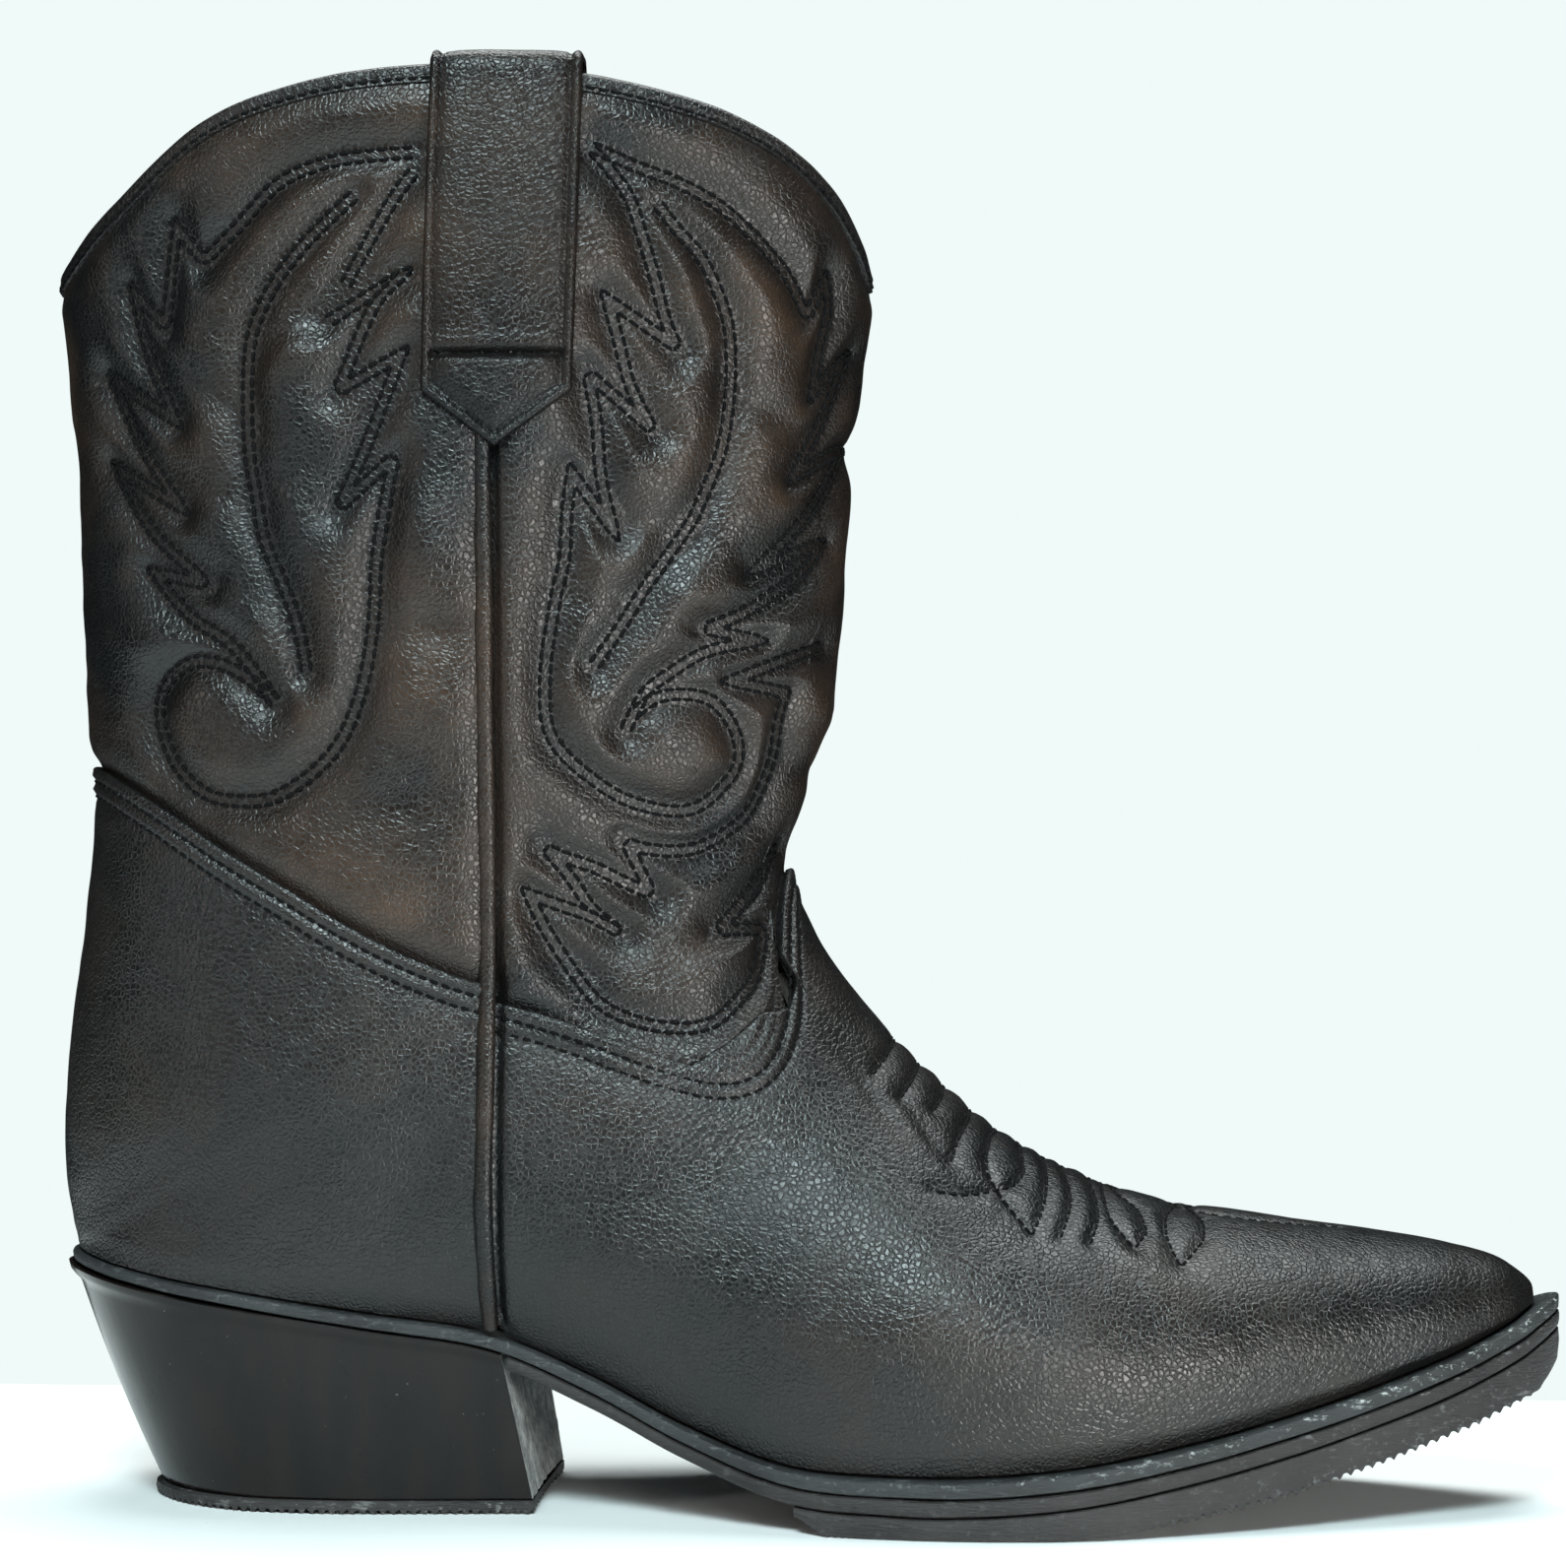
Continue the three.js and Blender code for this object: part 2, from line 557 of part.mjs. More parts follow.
function shaftFrontPanel() {
  const dive = tuckUnder(frontTucked, frontUnderBinding, Math.abs);
  return patchSheet(frontShaft, FRONT_COLUMNS, FRONT_ROWS, SHAFT_LEATHER, dive);
}

function shaftBackPanel() {
  const dive = tuckUnder(backTucked, backUnderBinding, (u) => Math.cos((Math.abs(u) * Math.PI) / 2));
  return patchSheet(backShaft, BACK_COLUMNS, BACK_ROWS, SHAFT_LEATHER, dive);
}

function shaftPaddingFront() {
  return patchSheet(frontShaft, FRONT_COLUMNS, FRONT_ROWS.slice(ROWS_RAMPED), PADDING);
}

function shaftPaddingBack() {
  return patchSheet(backShaft, BACK_COLUMNS, BACK_ROWS.slice(ROWS_RAMPED), PADDING);
}

function shaftLiningFront() {
  return patchSheet(frontShaft, FRONT_COLUMNS, FRONT_ROWS.slice(ROWS_TUCKED), LINING);
}

function shaftLiningBack() {
  return patchSheet(backShaft, BACK_COLUMNS, BACK_ROWS.slice(ROWS_TUCKED), LINING);
}

function vampLining() {
  return toeSheet(evenly(24, -1, 1), VAMP_LINING_ROWS, LINING, LINING_SPLIT);
}

function heelLining() {
  const place = backPatch(shiftedEdge(featherAround, 0.4), shiftedEdge(counterEdgeAround, -LINING_SPLIT));
  return patchSheet(place, evenly(18, -0.985, 0.985), evenly(5), LINING);
}

function toePuff() {
  return toeSheet(evenly(20, -1, 1), [0, 0.08, 0.28, 0.52, 0.76, 1], STIFFENER, 0, 0.27);
}

function heelStiffener() {
  const place = backPatch(shiftedEdge(featherAround, 0.8), shiftedEdge(counterEdgeAround, -TUCK_LENGTH - 4));
  return patchSheet(place, BACK_COLUMNS.slice(1, -1), evenly(6), STIFFENER);
}

// ---------------------------------------------------------------- binding, piping, straps

// A section that rides on a surface path: across is along the normal, up is along the surface.
function ringOn(point, normal, up, corners) {
  return corners.map(([across, rise]) => {
    return point.clone().addScaledVector(normal, across).addScaledVector(up, rise);
  });
}

function topBinding() {
  const half = [...TOPLINE_FRONT].reverse().concat([...TOPLINE_BACK].reverse().slice(1));
  const around = smoothPoints(half, 26);
  const loop = [
    ...around.map(([x, z]) => ({ x, z, side: LATERAL })),
    ...around.slice(1, -1).reverse().map(([x, z]) => ({ x, z, side: MEDIAL })),
  ];
  const top = loop.map((place) => skin(place, 0));
  const rings = loop.map((place, i) => {
    const before = top[(i + loop.length - 1) % loop.length];
    const after = top[(i + 1) % loop.length];
    const normal = outwardNormal(place.x, place.z, place.side, Math.abs(top[i].y));
    const tangent = after.clone().sub(before).normalize();
    const up = normal.clone().cross(tangent).normalize();
    if (up.z < 0) up.negate();
    const { below, outer, inner, bevel } = BINDING;
    const corners = [[-outer, -below], [-outer, -bevel], [-outer - bevel, 0], [-inner + bevel, 0],
      [-inner, -bevel], [-inner, -below]];
    return ringOn(top[i], normal, up, corners);
  });
  return bodyThrough(rings, true);
}

function sideSeamPiping(side) {
  const { width, topZ, bottomZ, proud } = PIPING;
  const standOff = -FOOT_LEATHER[0] + TOUCH_GAP + 0.15;
  const rings = evenly(18, bottomZ, topZ).map((z) => {
    const point = skin({ x: SEAM_X, z, side }, 0);
    const normal = outwardNormal(SEAM_X, z, side, Math.abs(point.y));
    const across = new THREE.Vector3(1, 0, 0).addScaledVector(normal, -normal.x).normalize();
    const w = width / 2;
    const profile = [[-w, standOff], [w, standOff], [w, proud - 0.5], [w / 2, proud], [-w / 2, proud],
      [-w, proud - 0.5]];
    return profile.map(([sideways, out]) => point.clone().addScaledVector(across, sideways)
      .addScaledVector(normal, out));
  });
  return bodyThrough(rings);
}

// A band folded over the topline: down the outside to a point, and down the inside.
function pullStrap(side) {
  const { thickness, clearance, halfWidth, topZ, shoulderZ, tipZ, insideEndZ } = STRAP;
  const columns = evenly(4, -1, 1);
  const centreX = (z) => THREE.MathUtils.mapLinear(z, shoulderZ, topZ, STRAP.centreLowX, STRAP.centreTopX);
  const bendZ = topZ - 4.3;
  const insideDepth = LINING[1] + clearance + 0.3;
  const at = (column, z, out) => {
    const x = centreX(z) + column * halfWidth;
    const onShaft = skin({ x, z: Math.min(z, bendZ), side }, 0);
    return new THREE.Vector3(x, onShaft.y + side * out, z);
  };
  const outside = (column, out) => {
    const tip = tipZ + (shoulderZ - tipZ) * Math.abs(column);
    return [0, 0.12, 0.4, 0.7, 1].map((k) => at(column, THREE.MathUtils.lerp(tip, bendZ, k), out));
  };
  const over = (column, radius) => evenly(5, 0.12, 0.88).map((k) => {
    const middle = (clearance - insideDepth) / 2;
    const turn = k * Math.PI;
    const reach = (insideDepth + clearance) / 2 + radius;
    const sideways = Math.sign(Math.cos(turn)) * Math.abs(Math.cos(turn)) ** STRAP.bendSquareness;
    const base = at(column, bendZ, middle + sideways * reach);
    base.z += Math.sin(turn) ** STRAP.bendSquareness * (topZ - thickness - bendZ + radius);
    return base;
  });
  const inside = (column, out) => evenly(3).map((k) => at(column, THREE.MathUtils.lerp(bendZ, insideEndZ, k), out));
  const outerGrid = columns.map((c) => [...outside(c, clearance + thickness), ...over(c, thickness),
    ...inside(c, -insideDepth - thickness)]);
  const innerGrid = columns.map((c) => [...outside(c, clearance), ...over(c, 0), ...inside(c, -insideDepth)]);
  return sheetBetween(outerGrid, innerGrid);
}

// ---------------------------------------------------------------- sole and heel

const SOLE_MARGIN = [[0, 5.3], [12, 4.2], [40, 3.3], [110, 3.0], [175, 1.8], [230, 1.0], [HEEL_SEAT, 1.2]];
const WELT_THICKNESS = [[0, SOLE.forefootWelt], [110, SOLE.forefootWelt], [200, 2.5], [250, SOLE.heelWelt],
  [HEEL_SEAT, SOLE.heelWelt]];
const TREAD_BOTTOM = [[142.5, 29.5], [136.4, 22.5], [124.7, 17.4], [105.9, 11], [87.8, 5.9], [70.1, 2.4],
  [52.7, 0.3], [46, 0], [6.5, 0], [SOLE.treadStartX, 3.2]];

function featherPoint(t, side, margin) {
  const half = (at) => side * baseHalfAt[side === MEDIAL ? 1 : 0](at);
  const h = 0.02;
  const from = Math.max(t - h, TOE);
  const to = Math.min(t + h, HEEL_SEAT);
  const tangent = new THREE.Vector2(baseXAt(to) - baseXAt(from), half(to) - half(from)).normalize();
  const out = new THREE.Vector2(-side * tangent.y, side * tangent.x).multiplyScalar(-1);
  if (t <= h) out.set(1, 0);
  if (t >= HEEL_SEAT - h) out.set(-1, 0);
  return new THREE.Vector2(baseXAt(t) + out.x * margin, half(t) + out.y * margin);
}

const featherRow = evenly(200, TOE, HEEL_SEAT).map((t) => [baseXAt(t), baseZAt(t)]);
const TOE_RISE = 0.55;                     // slope of the feather line at the toe tip

// Height of the feather line at x, carried on straight past both ends.
function featherZ(x) {
  const [toeX, toeZ] = featherRow[0];
  if (x > toeX) return toeZ + (x - toeX) * TOE_RISE;
  return valueOn(featherRow, x);
}

// Stations along the sole, closer together round the toe and the heel; each piece uses those
// it spans and its own two ends, so that pieces lying on each other have the same facets.
const SOLE_STATIONS = evenly(24).map((k) => HEEL_SEAT * (0.55 * k + 0.225 * (1 - Math.cos(k * Math.PI))));

function soleStations(from = TOE, to = HEEL_SEAT) {
  const clear = 3;
  return [from, ...SOLE_STATIONS.filter((t) => t > from + clear && t < to - clear), to];
}

// A slab that follows the sole from one station to another; heights are functions of x.
function soleSlab(stations, margin, topAt, bottomAt, across = 4) {
  const grid = (heightAt) => stations.map((t) => {
    const a = featherPoint(t, LATERAL, margin(t));
    const b = featherPoint(t, MEDIAL, margin(t));
    return evenly(across).map((k) => {
      const x = THREE.MathUtils.lerp(a.x, b.x, k);
      return new THREE.Vector3(x, THREE.MathUtils.lerp(a.y, b.y, k), heightAt(x));
    });
  });
  return sheetBetween(grid(topAt), grid(bottomAt));
}

const stationOfX = (x) => evenly(800, TOE, HEEL_SEAT).find((t) => baseXAt(t) <= x);
const thicknessAt = (x) => valueOn(WELT_THICKNESS, stationOfX(Math.min(x, baseXAt(0) - 0.01)) ?? HEEL_SEAT);
const weltTop = (x) => featherZ(x) - SOLE.clearance;
const weltBottom = (x) => weltTop(x) - thicknessAt(x);
const outsoleTop = (x) => weltBottom(x) - TOUCH_GAP - 0.1;
const waistShare = (x) => smoothStep(x, -25, 15);
const outsoleThickness = (x) => THREE.MathUtils.lerp(SOLE.waistSole, SOLE.forefootSole, waistShare(x));
const outsoleBottom = (x) => outsoleTop(x) - outsoleThickness(x);
const treadTop = (x) => outsoleBottom(x) - TOUCH_GAP;
const soleMargin = (t) => valueOn(SOLE_MARGIN, t);

function welt() {
  const stations = [TOE, 1.5, ...soleStations().slice(1)];
  const path = [
    ...stations.map((t) => [t, LATERAL]),
    ...stations.slice(1, -1).reverse().map((t) => [t, MEDIAL]),
  ];
  const rings = path.map(([t, side]) => {
    const outer = featherPoint(t, side, soleMargin(t));
    const inner = featherPoint(t, side, soleMargin(t) - SOLE.weltWidth);
    return [[outer, weltTop], [outer, weltBottom], [inner, weltBottom], [inner, weltTop]].map(
      ([p, height]) => new THREE.Vector3(p.x, p.y, height(p.x)),
    );
  });
  return bodyThrough(rings, true);
}

const insideWelt = (t) => soleMargin(t) - SOLE.weltWidth - 0.4;

function bottomFiller() {
  return soleSlab(soleStations(10, stationOfX(2)), insideWelt, weltTop, weltBottom);
}

function heelSeatBoard() {
  return soleSlab(soleStations(stationOfX(-60)), insideWelt, weltTop, weltBottom);
}

// A narrow spring-steel strip with a pressed rib, between filler and heel seat board.
function shankSteel() {
  const rib = [0, 0, SHANK.rib, SHANK.rib, 0, 0];
  const acrossAt = [-1, -0.42, -0.24, 0.24, 0.42, 1];
  const grid = (lift) => evenly(8, 1, -58.6).map((x) => acrossAt.map(
    (k, i) => new THREE.Vector3(x, SHANK.y + k * SHANK.halfWidth, weltBottom(x) + lift + rib[i]),
  ));
  return sheetBetween(grid(SHANK.lift + SHANK.thickness), grid(SHANK.lift));
}

function insoleBoard() {
  const inset = () => -SOLE.boardInset;
  const [low, high] = SOLE.board;
  return soleSlab(soleStations(), inset, (x) => featherZ(x) + high, (x) => featherZ(x) + low);
}

function heelCushion() {
  const inset = () => -SOLE.boardInset - 2.5;
  const [low, high] = SOLE.cushion;
  const stations = soleStations(stationOfX(-72));
  return soleSlab(stations, inset, (x) => featherZ(x) + high, (x) => featherZ(x) + low);
}

function sockLiner() {
  const inset = () => -SOLE.boardInset - 0.4;
  const [low, high] = SOLE.sock;
  const lift = (x) => smoothStep(-x, 40, 66);
  const under = (x) => THREE.MathUtils.lerp(SOLE.board[1] + TOUCH_GAP, low, lift(x));
  const height = (x, thick) => featherZ(x) + under(x) + thick;
  return soleSlab(soleStations(), inset, (x) => height(x, high - low), (x) => height(x, 0));
}

function outsole() {
  const stations = soleStations(TOE, stationOfX(-52.4));
  return soleSlab(stations, soleMargin, outsoleTop, outsoleBottom);
}

function forepartTread() {
  const stations = soleStations(TOE, stationOfX(SOLE.treadStartX));
  const bottom = (x) => Math.min(valueOn(TREAD_BOTTOM, x), treadTop(x) - 0.8);
  return soleSlab(stations, (t) => soleMargin(t) - 0.2, treadTop, bottom);
}

// The D-shaped outline of the heel, from the breast's outer corner round the back.
function heelOutline(share, margin = 0) {
  const start = stationOfX(SOLE.breastX);
  const stations = evenly(9).map((k) => start + (HEEL_SEAT - start) * (1 - (1 - k) ** 1.5));
  const half = (side) => stations.map((t) => featherPoint(t, side, HEEL.topMargin));
  const outline = [...half(LATERAL), ...half(MEDIAL).reverse().slice(1)];
  const backX = Math.min(...outline.map((p) => p.x));
  return outline.map((p) => {
    const run = (p.x - SOLE.breastX) / (backX - SOLE.breastX);
    const low = {
      x: THREE.MathUtils.lerp(HEEL.bottomBreastX, HEEL.bottomBackX, run),
      y: (p.y * HEEL.bottomHalfWidth) / HEEL.topHalfWidth,
    };
    const bulge = HEEL.backBulge * Math.sin(share * Math.PI) * run ** 3;
    const x = THREE.MathUtils.lerp(p.x, low.x, share) - bulge;
    const y = THREE.MathUtils.lerp(p.y, low.y, share);
    const grow = 1 + margin / HEEL.topHalfWidth;
    return { x: SOLE.breastX + (x - SOLE.breastX) * grow, y: y * grow, topX: p.x };
  });
}

function heelBlockBody() {
  const bottomZ = HEEL.liftThickness + TOUCH_GAP;
  const rings = evenly(4).map((share) => heelOutline(share).map((p) => {
    const topZ = outsoleTop(p.topX);
    return new THREE.Vector3(p.x, p.y, THREE.MathUtils.lerp(topZ, bottomZ, share));
  }));
  return capNonPlanar(rings);
}

// Rings joined as bodyThrough does, with the first and last ring capped in strips across.
function capNonPlanar(rings) {
  const size = rings[0].length;
  const points = rings.flat();
  const triangles = [];
  for (let r = 0; r < rings.length - 1; r += 1) {
    for (let k = 0; k < size; k += 1) {
      const l = (k + 1) % size;
      const [a, b, c, d] = [r * size + k, r * size + l, (r + 1) * size + l, (r + 1) * size + k];
      triangles.push([a, b, c], [a, c, d]);
    }
  }
  const end = (rings.length - 1) * size;
  for (let k = 0; k < (size - 1) / 2; k += 1) {
    const mirror = size - 1 - k;
    triangles.push([k, mirror - 1, k + 1], [k, mirror, mirror - 1]);
    triangles.push([end + k, end + k + 1, end + mirror - 1], [end + k, end + mirror - 1, end + mirror]);
  }
  return facingOut(geometryFrom(points, triangles));
}

function heelTopLift() {
  const level = (z) => heelOutline(1, 0.3).map((p) => new THREE.Vector3(p.x, p.y, z));
  return capNonPlanar([level(HEEL.liftThickness), level(0)]);
}

// ---------------------------------------------------------------- nails, screw, rivets, pins

// A headed fastener standing along Z with the underside of its head at z = 0.
function headedPin(radius, headRadius, headHeight, length, sides = 10) {
  const profile = [[0, headHeight], [headRadius, headHeight], [headRadius, 0], [radius, 0],
    [radius, -length + radius], [0, -length]];
  const lathe = new THREE.LatheGeometry(profile.map(([r, z]) => new THREE.Vector2(r, z)), sides);
  lathe.rotateX(Math.PI / 2);
  return closedFrom(lathe);
}

function drill(radius, fromZ, toZ, sides = 12) {
  const profile = [[0, toZ], [radius, toZ], [radius, fromZ], [0, fromZ]];
  const lathe = new THREE.LatheGeometry(profile.map(([r, z]) => new THREE.Vector2(r, z)), sides);
  lathe.rotateX(Math.PI / 2);
  return closedFrom(lathe);
}

function closedFrom(geometry) {
  const bare = geometry.clone();
  bare.deleteAttribute('normal');
  bare.deleteAttribute('uv');
  const p = bare.attributes.position;
  const points = Array.from({ length: p.count }, (_, i) => new THREE.Vector3().fromBufferAttribute(p, i));
  const index = Array.from(bare.index.array);
  const triangles = [];
  for (let i = 0; i < index.length; i += 3) triangles.push(index.slice(i, i + 3));
  return facingOut(geometryFrom(points, triangles));
}

function toSolid(geometry) {
  const merged = mergeVertices(geometry, 1e-4);
  return new wasm.Manifold(new wasm.Mesh({
    numProp: 3,
    vertProperties: new Float32Array(merged.attributes.position.array),
    triVerts: new Uint32Array(merged.index.array),
  }));
}

function fromSolid(solid) {
  const mesh = solid.getMesh();
  const geometry = new THREE.BufferGeometry();
  geometry.setAttribute('position', new THREE.Float32BufferAttribute(mesh.vertProperties, 3));
  geometry.setIndex(Array.from(mesh.triVerts));
  return geometry;
}

function drilled(geometry, holes) {
  let solid = toSolid(geometry);
  for (const hole of holes) solid = solid.subtract(toSolid(hole));
  return fromSolid(solid);
}

const NAIL = { radius: 1.2, headRadius: 2.3, headHeight: 0.7, length: 21 };
const SCREW = { radius: 2.0, headRadius: 3.6, headHeight: 0.7, length: 30 };
const RIVET = { radius: 1.1, headRadius: 1.8, headHeight: 0.4, length: 1.7 };
const LIFT_PIN = { radius: 1.6, headRadius: 2.6, headHeight: 1.1, length: 11, recess: 0.9 };
const HOLE_GAP = 0.35;

const NAIL_PLACES = [[-74, -15], [-74, 15], [-104, -17], [-104, 17], [-122, 0]];
const SCREW_PLACE = [-92, 0];
const RIVET_PLACES = [-9, -45];
const LIFT_PIN_PLACES = [[-66, 0], [-106, 0]];

const headSeat = (x) => featherZ(x) + SOLE.board[1] + 0.75;

function fastener(kind, x, y, seatZ) {
  return headedPin(kind.radius, kind.headRadius, kind.headHeight, kind.length).translate(x, y, seatZ);
}

function boreFor(kind, x, y, fromZ, toZ) {
  return drill(kind.radius + HOLE_GAP, fromZ, toZ).translate(x, y, 0);
}

function heelBores() {
  const down = (kind, [x, y]) => {
    const seat = headSeat(x);
    return boreFor(kind, x, y, seat - kind.length - HOLE_GAP, seat + 3);
  };
  return [...NAIL_PLACES.map((place) => down(NAIL, place)), down(SCREW, SCREW_PLACE)];
}

// The top lift's pins are driven up from below, their heads let into the lift.
function liftPin([x, y]) {
  const { radius, headRadius, headHeight, length, recess } = LIFT_PIN;
  const pin = headedPin(radius, headRadius, headHeight, length).rotateX(Math.PI);
  return pin.translate(x, y, recess + headHeight);
}

function liftPinBores(withHead) {
  return LIFT_PIN_PLACES.map(([x, y]) => {
    const underHead = LIFT_PIN.recess + LIFT_PIN.headHeight;
    const shank = boreFor(LIFT_PIN, x, y, -1, underHead + LIFT_PIN.length + HOLE_GAP);
    if (!withHead) return shank;
    const head = drill(LIFT_PIN.headRadius + HOLE_GAP, -1, underHead + HOLE_GAP);
    return fromSolid(toSolid(shank).add(toSolid(head.translate(x, y, 0))));
  });
}

// Rivets stand square to the sloping shank, on its rib.
function squareToShank(geometry, x) {
  const seat = weltBottom(x) + SHANK.lift + SHANK.thickness + SHANK.rib + 0.5;
  const tilt = -Math.atan((weltBottom(x + 2) - weltBottom(x - 2)) / 4);
  return geometry.rotateY(tilt).translate(x, SHANK.y, seat);
}

function shankRivet(x) {
  return squareToShank(headedPin(RIVET.radius, RIVET.headRadius, RIVET.headHeight, RIVET.length), x);
}

function rivetBores() {
  return RIVET_PLACES.map((x) => squareToShank(drill(RIVET.radius + HOLE_GAP, -6, 6), x));
}

// ---------------------------------------------------------------- the boot

const FINISH = {
  leather: { color: 0x1d1b1b, roughness: 0.46, metalness: 0 },
  binding: { color: 0x171616, roughness: 0.5, metalness: 0 },
  lining: { color: 0x3a332d, roughness: 0.85, metalness: 0 },
  foam: { color: 0xb9ad97, roughness: 0.95, metalness: 0 },
  board: { color: 0x8a6f50, roughness: 0.9, metalness: 0 },
  stiffener: { color: 0x6d6657, roughness: 0.8, metalness: 0 },
  rubber: { color: 0x232424, roughness: 0.62, metalness: 0 },
  heel: { color: 0x191716, roughness: 0.38, metalness: 0 },
  steel: { color: 0x9a9a98, roughness: 0.35, metalness: 1 },
};

const boot = new THREE.Group();

function addPiece(name, geometry, finish) {
  const mesh = new THREE.Mesh(geometry, new THREE.MeshStandardMaterial(FINISH[finish]));
  mesh.name = name;
  mesh.position.set(-ORIGIN.x, -ORIGIN.y, 0);
  boot.add(mesh);
}

addPiece('vamp', vamp(), 'leather');
addPiece('heel_counter_cover', heelCounterCover(), 'leather');
addPiece('shaft_front_panel', shaftFrontPanel(), 'leather');
addPiece('shaft_back_panel', shaftBackPanel(), 'leather');
addPiece('top_binding', topBinding(), 'binding');
addPiece('side_seam_piping_outer', sideSeamPiping(LATERAL), 'binding');
addPiece('side_seam_piping_inner', sideSeamPiping(MEDIAL), 'binding');
addPiece('pull_strap_outer', pullStrap(LATERAL), 'leather');
addPiece('pull_strap_inner', pullStrap(MEDIAL), 'leather');

addPiece('shaft_padding_front', shaftPaddingFront(), 'foam');
addPiece('shaft_padding_back', shaftPaddingBack(), 'foam');
addPiece('shaft_lining_front', shaftLiningFront(), 'lining');
addPiece('shaft_lining_back', shaftLiningBack(), 'lining');
addPiece('vamp_lining', vampLining(), 'lining');
addPiece('heel_lining', heelLining(), 'lining');
addPiece('toe_puff', toePuff(), 'stiffener');
addPiece('heel_stiffener', heelStiffener(), 'stiffener');

addPiece('sock_liner', sockLiner(), 'lining');
addPiece('heel_cushion', heelCushion(), 'foam');
addPiece('insole_board', drilled(insoleBoard(), heelBores()), 'board');
addPiece('heel_seat_board', drilled(heelSeatBoard(), heelBores()), 'board');
addPiece('shank_steel', drilled(shankSteel(), rivetBores()), 'steel');
addPiece('bottom_filler', bottomFiller(), 'foam');
addPiece('welt', welt(), 'rubber');
addPiece('outsole', outsole(), 'rubber');
addPiece('forepart_tread', forepartTread(), 'rubber');
addPiece('heel_block', drilled(heelBlockBody(), [...heelBores(), ...liftPinBores(false)]), 'heel');
addPiece('heel_top_lift', drilled(heelTopLift(), liftPinBores(true)), 'rubber');

addPiece('heel_screw', fastener(SCREW, ...SCREW_PLACE, headSeat(SCREW_PLACE[0])), 'steel');
NAIL_PLACES.forEach(([x, y], i) => addPiece(`heel_nail_${i + 1}`, fastener(NAIL, x, y, headSeat(x)), 'steel'));
RIVET_PLACES.forEach((x, i) => addPiece(`shank_rivet_${i + 1}`, shankRivet(x), 'steel'));
LIFT_PIN_PLACES.forEach((place, i) => addPiece(`top_lift_pin_${i + 1}`, liftPin(place), 'steel'));

export default boot;
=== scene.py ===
import math

import bpy
import numpy as np
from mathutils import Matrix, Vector
from mathutils.kdtree import KDTree


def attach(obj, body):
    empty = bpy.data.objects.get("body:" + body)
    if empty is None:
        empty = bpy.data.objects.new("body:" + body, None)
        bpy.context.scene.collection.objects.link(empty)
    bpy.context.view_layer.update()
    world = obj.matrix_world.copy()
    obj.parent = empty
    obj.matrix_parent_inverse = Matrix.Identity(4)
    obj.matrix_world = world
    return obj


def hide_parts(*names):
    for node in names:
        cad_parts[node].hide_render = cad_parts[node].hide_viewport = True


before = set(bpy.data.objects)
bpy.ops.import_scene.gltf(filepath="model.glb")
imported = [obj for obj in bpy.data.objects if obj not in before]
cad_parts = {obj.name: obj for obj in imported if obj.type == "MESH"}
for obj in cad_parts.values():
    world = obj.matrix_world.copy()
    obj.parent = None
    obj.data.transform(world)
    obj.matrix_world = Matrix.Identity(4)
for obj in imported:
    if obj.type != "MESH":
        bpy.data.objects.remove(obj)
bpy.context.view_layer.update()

# Everything below is in millimetres in the last's own axes: toe +X, outer side -Y, up +Z.
# place() turns it into the frame's metres.
LAST_SHIFT = np.array([0.25, 0.6, 0.0])
MM = 0.001
OUTER, INNER = -1, 1


def place(points):
    return (np.asarray(points, float) + LAST_SHIFT) * MM


# ------------------------------------------------------------------ camera

CAMERA_AIM = np.array([-3.8, 0.0, 134.7])
CAMERA_DISTANCE = 750.0
CAMERA_TURN = math.radians(4)  # towards the toe
CAMERA_LENS = 90.9

towards_boot = np.array([-math.sin(CAMERA_TURN), math.cos(CAMERA_TURN), 0.0])
camera_data = bpy.data.cameras.new("camera")
camera_data.lens = CAMERA_LENS
camera_data.sensor_width = 36
camera_data.clip_end = 20
camera = bpy.data.objects.new("camera", camera_data)
camera.location = Vector(place(CAMERA_AIM - towards_boot * CAMERA_DISTANCE))
camera.rotation_mode = "QUATERNION"
camera.rotation_quaternion = Vector(towards_boot).to_track_quat("-Z", "Y")
bpy.context.scene.collection.objects.link(camera)
bpy.context.scene.camera = camera

# ------------------------------------------------------------------ reference surface

